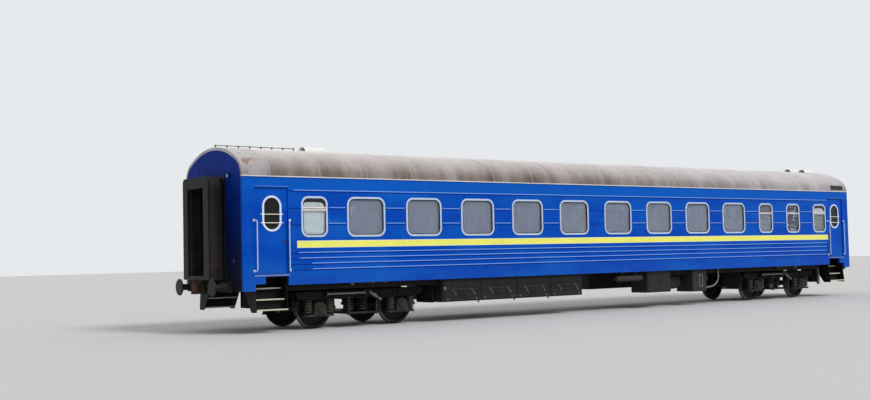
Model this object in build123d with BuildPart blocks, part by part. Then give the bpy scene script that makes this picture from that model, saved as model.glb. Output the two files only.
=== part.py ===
from build123d import *
from math import asin, cos, sin, sqrt
import os

os.makedirs("parts", exist_ok=True)

# A broad-gauge compartment sleeping coach at full size, in millimetres.
# X runs along the coach, Y across it and Z up. The origin is at the middle of the coach, level with
# the lowest point of the wheel flanges. "front" is the end at -X and "left" is the side at -Y.

# Rail level. Heights below are measured from the rail head and then raised by the flange depth.
flange_depth = 28
rail = flange_depth

# Body shell
body_length = 23600
body_width = 3060
wall = 70
eave_z = rail + 3600
crown_z = rail + 4380
crown_radius = 2600
skirt_z = rail + 1076
corner_z = rail + 960
floor_z = rail + 1330
floor_thickness = 60
end_x = body_length / 2
side_y = body_width / 2
inner_y = side_y - wall
inner_end_x = end_x - wall

# Gaps: between faces that meet, between things that move, and at the seam of two panels
fit_gap = 0.3
moving_gap = 5
seam_gap = 0.3

# Side entrances
corner_width = 320
doorway_width = 860
door_head_z = rail + 3340
door_gap = 8
door_thickness = 40
sill_height = 40
post_width = 30
threshold_gap = 10
threshold_width = 35
apron_width = 260
apron_z = rail + 1118
drip_strip_height = 18
drip_strip_depth = 24
drip_strip_rise = 32
drip_strip_overhang = 10
door_light_inset = 450
door_light_z = rail + 2745
door_light_width = 500
door_light_height = 835
oval_flat = 1
guard_bars_z = (rail + 2730, rail + 2530)
guard_bar_length = 590
handle_z = rail + 2080
handle_inset = 70
handle_length = 80
handle_height = 26
handle_depth = 26
door_outer_x = end_x - corner_width
door_inner_x = door_outer_x - doorway_width
door_light_x = door_outer_x - door_light_inset

# Hinges of all doors
knuckle_radius = 12
knuckle_height = 90
knuckle_gap = 0.5
leaf_length = 50
leaf_thickness = 8
leaf_seat = 14
side_hinges_z = (rail + 1700, rail + 2950)
end_hinges_z = (rail + 1650, rail + 2900)

# Side windows: outer sizes of the trim ring, which covers the edge of the cut-out
window_z = rail + 2674
window_height = 972
wide_window = 1110
narrow_window = 722
corner_radius_wide = 205
corner_radius_narrow = 190
trim_width = 48
trim_depth = 14
trim_cover = 12
glass_thickness = 8
transom_height = 46
transom_z = rail + 2835
blind_thickness = 4
blind_setback = 40
cutout_inset = trim_width - trim_cover

# Window table: place along the coach, width, corner radius, opening top light or not.
# Narrow windows keep their distance from the doorways, and wide ones fill the length between them.
window_pitch = 1749.2
front_narrow_inset = 712.5
front_wide_inset = 2179.1
rear_wide_inset = 5067
rear_narrow_insets = (509.7, 1983.9, 3439.5)
first_wide_x = front_wide_inset - door_inner_x
compartments = 1 + int((door_inner_x - rear_wide_inset - first_wide_x) / window_pitch)
windows = [
    (first_wide_x + window_pitch * i, wide_window, corner_radius_wide, False) for i in range(compartments)
]
windows += [
    (x, narrow_window, corner_radius_narrow, True)
    for x in [front_narrow_inset - door_inner_x] + [door_inner_x - inset for inset in rear_narrow_insets]
]

# Pressed ribs on the sides: distance from the front doorway, distance from the rear doorway, height
rib_width = 38
rib_depth = 9
rib_taper = 30
long_ribs = [
    (150, 60, rail + 3291),
    (270, 120, rail + 1820),
    (290, 130, rail + 1690),
    (630, 140, rail + 1564),
    (650, 150, rail + 1431),
]
short_ribs_z = (rail + 2884, rail + 2510)
short_rib_margin = 40
bare_bay = 5
hatch_inset = 495
hatch_width = 150
hatch_height = 180
hatch_z = rail + 1540

# Roof fittings
drip_width = 26
drip_height = 22
roof_seam_inset = 700
roof_seam_pitch = 2220
roof_seam_width = 45
roof_seam_height = 4
hood_y = -350
hood_height = 95
hood_wall = 8
curb_margin = 30
curb_height = 6
louvre_inset = 575
louvre_length = 690
louvre_z = rail + 3742
louvre_bars = 5
louvre_pitch = 28
louvre_bar_height = 14
louvre_depth = 16
louvre_end = 20
aerial_inset = 60
aerial_length = 2180
aerial_radius = 9
aerial_height = 62
aerial_posts = 8
post_radius = 14
insulator_radius = 24
insulator_length = 26
aerial_start_x = aerial_inset - end_x
aerial_middle_x = aerial_start_x + aerial_length / 2

# End doors, gangways and tail lamps
end_door_width = 700
end_door_head_z = rail + 3270
end_light_width = 400
end_light_height = 700
end_light_z = rail + 2700
end_rib_width = 42
end_rib_pitch = 330
end_ribs_z = [rail + 1500 + end_rib_pitch * i for i in range(7)]
gangway_inner_y = 430
gangway_foot_z = rail + 1240
gangway_head_z = rail + 3390
gangway_flange = 26
gangway_tube_radius = 130
gangway_corner = 180
gangway_round = 100
gangway_reach = 455
fall_plate_thickness = 16
lamp_radius = 75
lamp_depth = 60
lamp_rim = 14
lamp_places = [(-1180, rail + 1665), (1180, rail + 1665), (880, rail + 3645)]
gangway_face_x = end_x + gangway_reach

# Inner walls
partition = 40
partition_inset = 80
corridor_width = 820
inner_door_width = 680
inner_door_head_z = rail + 3300
panel_relief = 8
partition_x = door_inner_x - partition_inset
corridor_y = inner_y - corridor_width

# Underframe
sill_beam_height = 130
sill_beam_width = 70
beam_end_gap = 60
deck_thickness = 10
deck_margin = 15
centre_beam_width = 330
centre_beam_height = 190
headstock_depth = 180
headstock_z = rail + 965
coupler_pocket_depth = 400
coupler_pocket_y = 95
coupler_pocket_z = rail + 1170
cross_bearer_width = 90
cross_bearer_pitch = 1180
bolster_beam_length = 420
bolster_beam_z = rail + 1040
pivot_plate_radius = 230
pivot_plate_z = rail + 985
lower_pivot_radius = 195
bearer_y = 700
bearer_radius = 80
bearer_top_z = rail + 980
jack_pad_offset = 480
jack_pad_length = 150
jack_pad_width = 90
jack_pad_height = 110
side_beam_y = inner_y - sill_beam_width
coupler_pocket_x = end_x - coupler_pocket_depth
deck_z = floor_z - floor_thickness - deck_thickness

# Bogies
bogie_inset = 3450
wheelbase = 2400
wheel_radius = 475
axle_z = rail + wheel_radius
flange_radius = wheel_radius + flange_depth
wheel_back_y = 720
flange_thickness = 33
wheel_width = 130
tread_cone = 3
rim_thickness = 75
rim_step = 20
web_thickness = 28
hub_radius = 130
hub_proud = 10
axle_radius = 85
axle_shoulder = 40
wheel_seat_radius = 97
wheel_seat_end = 60
journal_radius = 65
journal_end_y = 1110
journal_gap = 0.3
box_y = 1040
box_width = 230
box_radius = 160
box_cap_radius = 105
box_cap_depth = 30
box_boss_radius = 60
box_boss_depth = 12
wing_z = rail + 330
wing_thickness = 50
wing_width = 150
spring_seat_radius = 118
saddle_head = 155
saddle_foot = 188
saddle_margin = 10
spring_offset = 300
spring_radius = 105
spring_groove = 14
spring_turns = 4
cup_radius = 120
cup_height = 16
frame_z = rail + 690
frame_height = 190
frame_beam_width = 170
frame_beam_length = 3700
frame_flange = 16
frame_recess = 20
frame_pockets = 6
tip_length = 215
tip_rise = 70
frame_y = 1040
cross_beam_x = 560
cross_beam_width = 200
end_beam_width = 130
bogie_x = end_x - bogie_inset
frame_face_y = frame_y + frame_beam_width / 2
web_face_y = frame_face_y - frame_recess

# Cradle that carries the body on each bogie
plank_z = rail + 300
plank_thickness = 40
plank_length = 870
plank_edge = 22
plank_edge_height = 55
cradle_spring_radius = 135
cradle_spring_offset = 210
cradle_spring_y = 800
swing_bolster_z = rail + 700
swing_bolster_height = 205
swing_bolster_width = 420
swing_bolster_length = 1880
bolster_belly = 55
belly_y = 480
belly_rise = 120
hanger_x = 410
hanger_eye_radius = 45
hanger_shank = 44
hanger_thickness = 35
pin_radius = 20
pin_gap = 0.3
rod_z = rail + 815
rod_y = 1205
rod_radius = 24
rod_far_x = 1060
bush_radius = 46
bush_thickness = 22
bracket_near_x = 20
bracket_length = 110
bracket_taper = 60
bracket_width = 70
bracket_low_z = rail + 705
arm_thickness = 20
lug_thickness = 16
lug_radius = 34
damper_top_x = 200
damper_low_x = 490
damper_top_z = rail + 815
damper_low_z = rail + 640
damper_case_radius = 34
damper_rod_radius = 18
damper_width = 40
damper_pin_radius = 16
hanger_y = frame_face_y + moving_gap
hanger_top_z = frame_z + 100
hanger_low_z = plank_z + plank_thickness / 2
plank_end_y = hanger_y - moving_gap
damper_y = rod_y

# Brakes
shoe_thickness = 50
shoe_height = 360
shoe_width = 90
shoe_gap = 8
brake_beam_width = 70
brake_hanger_width = 40
shoe_radius = wheel_radius + shoe_gap

# Running steps: height, and distance of each tread's front edge from the coach's side
tread_depth = 270
tread_thickness = 32
tread_table = [(rail + 535, 0), (rail + 770, 160), (rail + 1025, 340)]
cheek_thickness = 8
cheek_setback = 12
cheek_drop = 40
cheek_rise = 20
cheek_wall_gap = 6
cover_thickness = 25
cover_depth = 495
well_outer_gap = 20
well_inner_gap = 30
cover_hinge_inset = 15
cover_knuckle_radius = 8
cover_knuckle_length = 60
cover_hinge_spacing = 300
well_outer_x = door_outer_x - well_outer_gap
well_inner_x = door_inner_x + well_inner_gap
cover_hinge_x = well_inner_x + cover_hinge_inset
well_outer_y = inner_y - threshold_width
well_inner_y = well_outer_y - cover_depth - 2 * moving_gap

# Hand rails beside each side entrance
hand_rail_radius = 16
hand_rail_standoff = 70
hand_rail_bend = 38
hand_rail_foot = 60
hand_rail_foot_depth = 8
hand_rail_low_z = rail + 1422
hand_rail_high_z = rail + 2584
hand_rails_x = (door_outer_x + 25, door_inner_x - 45)

# Couplers and buffers
coupler_z = rail + 1060
coupling_reach = 470
shank_width = 150
shank_height = 180
head_height = 300
head_length = 240
buffer_y = 900
buffer_reach = 490
buffer_base_radius = 135
buffer_base_depth = 24
buffer_case_radius = 110
buffer_case_length = 240
buffer_case_draft = 8
buffer_plunger_radius = 75
buffer_head_radius = 200
buffer_head_thickness = 32
buffer_head_chamfer = 10
coupling_x = end_x + coupling_reach

# Boxes and tanks under the floor
battery_outer_y = side_y - 90
battery_depth = 640
battery_bay = 1240
battery_low_z = rail + 480
battery_gap = 2250
box_top_z = rail + 1095
box_corner = 30
door_relief = 14
door_margin = 45
pressing_middle_z = rail + 720
pressing_height = 190
pressing_angle = 52
pressing_depth = 26
pressing_taper = 35
drain_radius = 22
drain_length = 45
drain_inset = 60
hanger_size = 60
hinge_pin_radius = 12
hinge_pin_length = 90
locker_outer_y = side_y - 110
locker_handle_length = 120
locker_handle_height = 28
locker_handle_z = 70
tank_dome = 70
strap_width = 40
strap_depth = 6
pipe_radius = 52
pipe_offset = 150
pipe_bend = 130
pipe_knee_z = rail + 1060
pipe_elbow_z = rail + 860
pipe_low_z = rail + 410
equipment_rail_y = battery_outer_y - battery_depth + 20
battery_start = battery_gap - bogie_x
battery_bays = int(-battery_start / battery_bay)
battery_end = battery_start + battery_bay * battery_bays
hanger_height = deck_z - sill_beam_height - box_top_z

# Locker table: start, length, side, depth, lowest level
lockers = [
    (battery_end + 2700, 1040, -1, 640, rail + 435),
    (battery_end + 4740, 650, -1, 640, rail + 395),
    (battery_start + 900, 2500, 1, 700, rail + 470),
    (battery_end + 2440, 2000, 1, 640, rail + 520),
]

# Reservoir table: middle along the coach, middle across it, radius, length, height of the axis
reservoirs = [
    (battery_end + 2010, 180 - side_y, 88, 1100, rail + 890),
    (battery_end + 4220, -equipment_rail_y, 230, 900, rail + 720),
    (battery_end + 5780, -equipment_rail_y, 150, 560, rail + 800),
    (battery_end + 540, equipment_rail_y, 200, 1500, rail + 780),
    (battery_end + 5740, equipment_rail_y, 160, 1200, rail + 820),
]

# Door pressing table: middle from the door's middle, width at the top, slope of the left and the right flank
pressings = [(-20, 600, pressing_angle, pressing_angle), (425, 230, pressing_angle, 90)]

# Hood table: middle along the coach, length, width
hoods = [(2560 - end_x, 600, 300), (end_x - 1530, 400, 240), (end_x - 710, 400, 240)]

# Waste pipe table: end and middle across the coach
pipe_x = (bogie_x + frame_beam_length / 2 + well_inner_x) / 2
waste_pipe_places = [(1, 350 - side_y), (-1, 890 - side_y)]

hanging = (Align.CENTER, Align.CENTER, Align.MAX)
standing = (Align.CENTER, Align.CENTER, Align.MIN)


def arch_points(half_width, eave, crown, radius):
    """Points where the crown arc of a roof section meets its shoulder arcs."""
    centre = crown - radius
    rise = eave - centre
    shoulder = (radius**2 - half_width**2 - rise**2) / (2 * (radius - half_width))
    reach = radius / (radius - shoulder)
    return (half_width - shoulder) * reach, centre + rise * reach


def arch_section(half_width, eave, crown, radius, foot):
    """Face of a body section under an arched roof, closed straight down to a foot level."""
    tangent_y, tangent_z = arch_points(half_width, eave, crown, radius)
    with BuildSketch() as section:
        with BuildLine():
            Polyline((half_width, eave), (half_width, foot), (-half_width, foot), (-half_width, eave))
            left = TangentArc((-half_width, eave), (-tangent_y, tangent_z), tangent=(0, 1))
            top = TangentArc(left @ 1, (tangent_y, tangent_z), tangent=left % 1)
            TangentArc(top @ 1, (half_width, eave), tangent=top % 1)
        make_face()
    return section.sketch


def roof_skin(depth, width, low, high):
    """Section of a layer of a given depth on the roof, within a width and between two heights."""
    sink = 1
    with BuildSketch() as section:
        add(arch_section(side_y + depth, eave_z, crown_z + depth, crown_radius + depth, eave_z - wall))
        inner = arch_section(side_y - sink, eave_z, crown_z - sink, crown_radius - sink, eave_z - 2 * wall)
        add(inner, mode=Mode.SUBTRACT)
        with Locations((0, (low + high) / 2)):
            Rectangle(width, high - low, mode=Mode.INTERSECT)
    return section.sketch


def crown_plane(x, y):
    """Cross-section plane about the crown arc's centre, turned so that its own Y axis meets the roof at y."""
    turn = asin(y / crown_radius)
    return Plane(
        origin=(x, 0, crown_z - crown_radius),
        x_dir=(0, cos(turn), -sin(turn)),
        z_dir=(1, 0, 0),
    )


def window_outline(inset):
    """Outlines of all windows of one side, a given distance inside their trim rings."""
    with BuildSketch() as section:
        for x, width, radius, opens in windows:
            with Locations((x, window_z)):
                RectangleRounded(width - 2 * inset, window_height - 2 * inset, radius - inset)
    return section.sketch


def door_oval(inset):
    """Outline of the light of a side door, a given distance inside its trim ring."""
    width = door_light_width - 2 * inset
    with BuildSketch() as section:
        with Locations((door_light_x, door_light_z)):
            RectangleRounded(width, door_light_height - 2 * inset, width / 2 - oval_flat)
    return section.sketch


def box_profile(middle_y, depth, low_z):
    """Cross-section of a box under the floor, with rounded lower corners."""
    with BuildSketch() as section:
        with Locations((middle_y, (box_top_z + low_z) / 2)):
            Rectangle(depth, box_top_z - low_z)
        fillet(section.vertices().group_by(Axis.Y)[0], box_corner)
    return section.sketch


def coil_profile(radius, height):
    """Half section of a coil spring's outer form, with one ridge a turn, closed on its axis."""
    pitch = height / spring_turns
    points = [(0, 0)]
    for turn in range(spring_turns):
        points += [(radius - spring_groove, turn * pitch), (radius, (turn + 0.5) * pitch)]
    points += [(radius - spring_groove, height), (0, height)]
    with BuildSketch() as section:
        with BuildLine():
            Polyline(*points, close=True)
        make_face()
    return section.sketch


# Underframe: the load-carrying grid below the floor, with headstocks, body bolsters, pivots and jack pads
with BuildPart() as underframe:
    with Locations((0, 0, deck_z)):
        Box(2 * inner_end_x, 2 * (well_inner_y - deck_margin), deck_thickness, align=standing)
        Box(2 * (well_inner_x - beam_end_gap), 2 * inner_y, deck_thickness, align=standing)
        Box(2 * inner_end_x, centre_beam_width, centre_beam_height, align=hanging)
    for side in (-1, 1):
        with Locations((0, side * side_beam_y, deck_z)):
            Box(2 * (well_inner_x - beam_end_gap), sill_beam_width, sill_beam_height, align=hanging)
        with Locations((0, side * equipment_rail_y, deck_z)):
            Box(2 * bogie_x - frame_beam_length, sill_beam_width, sill_beam_height, align=hanging)
        for end in (-1, 1):
            with Locations((end * bogie_x, side * side_beam_y, deck_z - sill_beam_height)):
                with GridLocations(2 * jack_pad_offset, 0, 2, 1):
                    Box(jack_pad_length, jack_pad_width, jack_pad_height, align=hanging)
    bearer_count = int(well_inner_x * 2 / cross_bearer_pitch)
    with Locations((0, 0, deck_z)):
        with GridLocations(cross_bearer_pitch, 0, bearer_count, 1):
            Box(cross_bearer_width, 2 * side_beam_y, sill_beam_height, align=hanging)
    for end in (-1, 1):
        with Locations((end * (inner_end_x - headstock_depth / 2), 0, deck_z)):
            Box(headstock_depth, 2 * inner_y, deck_z - headstock_z, align=hanging)
        with Locations((end * bogie_x, 0, deck_z)):
            Box(bolster_beam_length, 2 * side_beam_y, deck_z - bolster_beam_z, align=hanging)
            Cylinder(pivot_plate_radius, deck_z - pivot_plate_z, align=hanging)
            with GridLocations(0, 2 * bearer_y, 1, 2):
                Cylinder(bearer_radius, deck_z - bearer_top_z - moving_gap, align=hanging)
        with Locations((end * (coupler_pocket_x + end_x) / 2, 0, coupler_pocket_z)):
            Box(
                coupler_pocket_depth,
                2 * coupler_pocket_y,
                deck_z - headstock_z,
                align=hanging,
                mode=Mode.SUBTRACT,
            )
underframe.part.label = "underframe"
export_step(underframe.part, "parts/underframe.step")

# Floor: one slab between the walls, cut back over each entrance well, with the hinge halves of the covers
cover_y = (well_outer_y + well_inner_y) / 2
cover_leaf = cover_hinge_inset + 2 * moving_gap
with BuildPart() as floor:
    with Locations((0, 0, floor_z)):
        Box(2 * inner_end_x, 2 * inner_y, floor_thickness, align=hanging)
    for end in (-1, 1):
        for side in (-1, 1):
            with Locations((end * (well_outer_x + well_inner_x) / 2, side * cover_y, floor_z)):
                Box(
                    well_outer_x - well_inner_x,
                    well_outer_y - well_inner_y,
                    3 * floor_thickness,
                    mode=Mode.SUBTRACT,
                )
            with Locations((end * cover_hinge_x, side * cover_y, floor_z)):
                with GridLocations(0, cover_hinge_spacing, 1, 2):
                    Cylinder(cover_knuckle_radius, cover_knuckle_length, rotation=(90, 0, 0))
            with Locations((end * (cover_hinge_x - cover_leaf / 2), side * cover_y, floor_z)):
                with GridLocations(0, cover_hinge_spacing, 1, 2):
                    Box(cover_leaf, cover_knuckle_length, cover_knuckle_radius, align=hanging)
floor.part.label = "floor"
export_step(floor.part, "parts/floor.step")

# Side walls: one long panel a side between the entrance bays, with window cut-outs and pressed ribs
wall_end_x = door_inner_x - post_width
with BuildPart() as side_wall_left:
    with BuildSketch(Plane.XZ.offset(inner_y)):
        with Locations((0, (skirt_z + eave_z) / 2)):
            Rectangle(2 * wall_end_x, eave_z - skirt_z)
        add(window_outline(cutout_inset), mode=Mode.SUBTRACT)
    extrude(amount=wall)
    with BuildSketch(Plane.XZ.offset(side_y)):
        for front_gap, rear_gap, z in long_ribs:
            with Locations(((front_gap - rear_gap) / 2, z)):
                Rectangle(2 * door_inner_x - front_gap - rear_gap, rib_width)
        spans = sorted((x - width / 2, x + width / 2) for x, width, radius, opens in windows)
        for bay, (before, after) in enumerate(zip(spans, spans[1:])):
            if bay != bare_bay:
                for z in short_ribs_z:
                    with Locations(((before[1] + after[0]) / 2, z)):
                        Rectangle(after[0] - before[1] - 2 * short_rib_margin, rib_width)
        with Locations((hatch_inset - door_inner_x, hatch_z)):
            Rectangle(hatch_width, hatch_height)
    extrude(amount=rib_depth, taper=rib_taper)
side_wall_left.part.label = "side_wall_left"
export_step(side_wall_left.part, "parts/side_wall_left.step")

with BuildPart() as side_wall_right:
    mirror(side_wall_left.part, about=Plane.XZ)
side_wall_right.part.label = "side_wall_right"
export_step(side_wall_right.part, "parts/side_wall_right.step")

# Entrance bays: the post, head, sill, apron and corner column round each side doorway, and a drip strip
hinge_x = door_outer_x - door_gap
hinge_y = inner_y - leaf_seat
sill_z = floor_z - sill_height
with BuildPart() as entrance_bays:
    for end in (-1, 1):
        bay_x = wall_end_x + seam_gap
        doorway_x = end * (door_outer_x + door_inner_x) / 2
        with BuildSketch(Plane.XZ.offset(inner_y)):
            with Locations((end * (bay_x + end_x) / 2, (skirt_z + eave_z) / 2)):
                Rectangle(end_x - bay_x, eave_z - skirt_z)
            with Locations((end * (end_x + door_outer_x) / 2, (corner_z + skirt_z) / 2)):
                Rectangle(corner_width, skirt_z - corner_z)
            with Locations((doorway_x, (floor_z + door_head_z) / 2)):
                Rectangle(doorway_width, door_head_z - floor_z, mode=Mode.SUBTRACT)
            with Locations((doorway_x, (skirt_z + sill_z) / 2)):
                Rectangle(doorway_width, sill_z - skirt_z, mode=Mode.SUBTRACT)
            with Locations((end * (door_outer_x - apron_width / 2), (apron_z + sill_z) / 2)):
                Rectangle(apron_width, sill_z - apron_z)
        extrude(amount=wall)
        with BuildSketch(Plane.XZ.offset(side_y)):
            with Locations((doorway_x, door_head_z + drip_strip_rise)):
                Rectangle(doorway_width + 2 * drip_strip_overhang, drip_strip_height)
        extrude(amount=drip_strip_depth)
        for z in side_hinges_z:
            with Locations((end * hinge_x, -hinge_y, z)):
                Cylinder(knuckle_radius, knuckle_height)
            with Locations((end * (hinge_x + leaf_length / 2), -inner_y + leaf_thickness / 2, z)):
                Box(leaf_length, leaf_thickness, knuckle_height)
    mirror(about=Plane.XZ)
entrance_bays.part.label = "entrance_bays"
export_step(entrance_bays.part, "parts/entrance_bays.step")

# Roof: an arched shell on the side walls, with drip rails, sheet seams, hood curbs and a louvre each side
seam_count = 1 + int((body_length - 2 * roof_seam_inset) / roof_seam_pitch)
curbs = [(hood_y, *hood) for hood in hoods]
curbs += [(0, aerial_middle_x, aerial_length, 2 * post_radius)]
louvre_x = end_x - louvre_inset
louvre_height = louvre_pitch * louvre_bars
with BuildPart() as roof:
    with BuildSketch(Plane.YZ.offset(-end_x)):
        add(arch_section(side_y, eave_z, crown_z, crown_radius, eave_z - wall))
        inner_arch = arch_section(inner_y, eave_z, crown_z - wall, crown_radius - wall, eave_z - 2 * wall)
        add(inner_arch, mode=Mode.SUBTRACT)
        with Locations((side_y, eave_z + drip_height / 2), (-side_y, eave_z + drip_height / 2)):
            Rectangle(2 * drip_width, drip_height)
        with Locations((0, eave_z - wall)):
            Rectangle(body_width, 2 * wall, mode=Mode.SUBTRACT)
    extrude(amount=body_length)
    for i in range(seam_count):
        seam_x = roof_seam_inset - end_x + roof_seam_pitch * i
        with BuildSketch(Plane.YZ.offset(seam_x - roof_seam_width / 2)):
            add(roof_skin(roof_seam_height, 2 * body_width, eave_z + 2 * drip_height, crown_z + wall))
        extrude(amount=roof_seam_width)
    for y, x, length, width in curbs:
        with BuildSketch(crown_plane(x - length / 2 - curb_margin, y)):
            Circle(crown_radius + curb_height)
            Circle(crown_radius - wall / 2, mode=Mode.SUBTRACT)
            with Locations((0, crown_radius)):
                Rectangle(width + 2 * curb_margin, 2 * wall, mode=Mode.INTERSECT)
        extrude(amount=length + 2 * curb_margin)
    for row in range(louvre_bars):
        bar_z = louvre_z + louvre_pitch * (row - (louvre_bars - 1) / 2)
        with BuildSketch(Plane.YZ.offset(louvre_x - louvre_length / 2)):
            bar_low_z = bar_z - louvre_bar_height / 2
            add(roof_skin(louvre_depth, 2 * body_width, bar_low_z, bar_low_z + louvre_bar_height))
        extrude(amount=louvre_length)
    for start in (louvre_x - louvre_length / 2, louvre_x + louvre_length / 2 - louvre_end):
        with BuildSketch(Plane.YZ.offset(start)):
            louvre_low_z = louvre_z - louvre_height / 2
            add(roof_skin(louvre_depth, 2 * body_width, louvre_low_z, louvre_low_z + louvre_height))
        extrude(amount=louvre_end)
roof.part.label = "roof"
export_step(roof.part, "parts/roof.step")

# Roof hoods: arched ventilator covers of sheet, open at both ends, that stand on the curbs beside the crown
with BuildPart() as roof_hoods:
    for x, length, width in hoods:
        with BuildSketch(crown_plane(x - length / 2, hood_y)):
            hood_foot = sqrt(crown_radius**2 - (width / 2) ** 2)
            for inset, mode in ((0, Mode.ADD), (hood_wall, Mode.SUBTRACT)):
                half = width / 2 - inset
                shoulder = hood_foot + hood_height / 2
                with BuildLine():
                    sides = Polyline(
                        (-half, shoulder), (-half, hood_foot), (half, hood_foot), (half, shoulder)
                    )
                    ThreePointArc(sides @ 1, (0, crown_radius + hood_height - inset), sides @ 0)
                make_face(mode=mode)
            Circle(crown_radius + curb_height + fit_gap, mode=Mode.SUBTRACT)
        extrude(amount=length)
roof_hoods.part.label = "roof_hoods"
export_step(roof_hoods.part, "parts/roof_hoods.step")

# Aerial: a rod along the crown near the front end, on short posts with disc insulators
with BuildPart() as roof_aerial:
    with Locations((aerial_middle_x, 0, crown_z + aerial_height)):
        Cylinder(aerial_radius, aerial_length, rotation=(0, 90, 0))
        with GridLocations((aerial_length - 4 * post_radius) / (aerial_posts - 1), 0, aerial_posts, 1):
            Cylinder(insulator_radius, insulator_length)
            Cylinder(post_radius, aerial_height - curb_height - fit_gap, align=hanging)
roof_aerial.part.label = "roof_aerial"
export_step(roof_aerial.part, "parts/roof_aerial.step")

# End walls: flat panels between the side walls and inside the roof, with the gangway doorway and lamps
end_hinge_y = end_door_width / 2 - door_gap
with BuildPart() as end_wall_rear:
    with BuildSketch(Plane.YZ.offset(inner_end_x)):
        add(arch_section(inner_y, eave_z, crown_z - wall, crown_radius - wall, corner_z))
        with Locations((0, (floor_z + end_door_head_z) / 2)):
            Rectangle(end_door_width, end_door_head_z - floor_z, mode=Mode.SUBTRACT)
        with Locations((0, (corner_z + gangway_foot_z) / 2)):
            Rectangle(4 * coupler_pocket_y, gangway_foot_z - corner_z, mode=Mode.SUBTRACT)
    extrude(amount=wall)
    with BuildSketch(Plane.YZ.offset(end_x)):
        rib_inner_y = gangway_inner_y + 2 * gangway_tube_radius + end_rib_width
        for z in end_ribs_z:
            for side in (-1, 1):
                with Locations((side * (rib_inner_y + inner_y) / 2, z)):
                    Rectangle(inner_y - rib_inner_y - end_rib_width, end_rib_width)
    extrude(amount=rib_depth, taper=rib_taper)
    with BuildSketch(Plane.YZ.offset(end_x)):
        with Locations(*lamp_places):
            Circle(lamp_radius)
    extrude(amount=lamp_depth, taper=lamp_rim / 2)
    with BuildSketch(Plane.YZ.offset(end_x + lamp_depth - lamp_rim)):
        with Locations(*lamp_places):
            Circle(lamp_radius - 2 * lamp_rim)
    extrude(amount=2 * lamp_rim, mode=Mode.SUBTRACT)
    for z in end_hinges_z:
        with Locations((inner_end_x - leaf_seat, end_hinge_y, z)):
            Cylinder(knuckle_radius, knuckle_height)
        with Locations((inner_end_x - leaf_thickness / 2, end_hinge_y + leaf_length / 2, z)):
            Box(leaf_thickness, leaf_length, knuckle_height)
end_wall_rear.part.label = "end_wall_rear"
export_step(end_wall_rear.part, "parts/end_wall_rear.step")

with BuildPart() as end_wall_front:
    with Locations(Location((0, 0, 0), (0, 0, 180))):
        add(end_wall_rear.part)
end_wall_front.part.label = "end_wall_front"
export_step(end_wall_front.part, "parts/end_wall_front.step")

# Window trims: a ring round each window, with a cross bar where the top light opens
with BuildPart() as window_trims:
    for face in (Plane.XZ.offset(side_y), Plane.XZ.offset(-side_y - trim_depth)):
        with BuildSketch(face):
            add(window_outline(0))
            add(window_outline(trim_width), mode=Mode.SUBTRACT)
            for x, width, radius, opens in windows:
                if opens:
                    with Locations((x, transom_z)):
                        Rectangle(width - trim_width, transom_height)
        extrude(amount=trim_depth)
window_trims.part.label = "window_trims"
export_step(window_trims.part, "parts/window_trims.step")

# Window glass: a pane behind each trim, held in the cut-out of the wall
with BuildPart() as window_glass:
    for face in (Plane.XZ.offset(side_y - glass_thickness), Plane.XZ.offset(-side_y)):
        with BuildSketch(face):
            add(window_outline(cutout_inset + fit_gap))
        extrude(amount=glass_thickness)
window_glass.part.label = "window_glass"
export_step(window_glass.part, "parts/window_glass.step")

# Blinds: a flat roller blind behind each pane, in the same cut-out
with BuildPart() as window_blinds:
    blind_y = side_y - blind_setback
    for face in (Plane.XZ.offset(blind_y), Plane.XZ.offset(-blind_y - blind_thickness)):
        with BuildSketch(face):
            add(window_outline(cutout_inset + fit_gap))
        extrude(amount=blind_thickness)
window_blinds.part.label = "window_blinds"
export_step(window_blinds.part, "parts/window_blinds.step")

# Inner walls: a cross wall behind each vestibule, and the long wall between corridor and compartments
with BuildPart() as inner_walls:
    for end in (-1, 1):
        with BuildSketch(Plane.YZ.offset(end * partition_x - partition / 2)):
            add(arch_section(inner_y, eave_z, crown_z - wall, crown_radius - wall, floor_z))
            with Locations(((inner_y + corridor_y) / 2, (floor_z + inner_door_head_z) / 2)):
                Rectangle(inner_door_width, inner_door_head_z - floor_z, mode=Mode.SUBTRACT)
        extrude(amount=partition)
    with Locations((0, corridor_y - partition / 2, floor_z)):
        Box(2 * partition_x - partition, partition, eave_z - floor_z, align=standing)
    with BuildSketch(Plane.XZ.offset(-corridor_y - panel_relief)):
        for x, width, radius, opens in windows[:compartments]:
            with Locations((x, (floor_z + inner_door_head_z) / 2)):
                Rectangle(inner_door_width, inner_door_head_z - floor_z)
    extrude(amount=panel_relief)
inner_walls.part.label = "inner_walls"
export_step(inner_walls.part, "parts/inner_walls.step")

# Gangway frames: a steel portal on each end wall, an outer portal and the fall plate between them
portal_y = gangway_inner_y + 2 * gangway_tube_radius
portal_z = gangway_head_z + 2 * gangway_tube_radius
with BuildPart() as gangway_frames:
    for start in (end_x, gangway_face_x - gangway_flange, -end_x - gangway_flange, -gangway_face_x):
        with BuildSketch(Plane.YZ.offset(start)) as portal:
            with Locations((0, (gangway_foot_z + portal_z) / 2)):
                Rectangle(2 * portal_y, portal_z - gangway_foot_z)
            fillet(portal.vertices().group_by(Axis.Y)[-1], gangway_round)
            with Locations((0, (floor_z + gangway_head_z) / 2)):
                Rectangle(2 * gangway_inner_y, gangway_head_z - floor_z, mode=Mode.SUBTRACT)
        extrude(amount=gangway_flange)
    for end in (-1, 1):
        with Locations((end * (end_x + gangway_face_x) / 2, 0, floor_z)):
            Box(gangway_reach, 2 * gangway_inner_y, fall_plate_thickness, align=hanging)
gangway_frames.part.label = "gangway_frames"
export_step(gangway_frames.part, "parts/gangway_frames.step")

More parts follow.
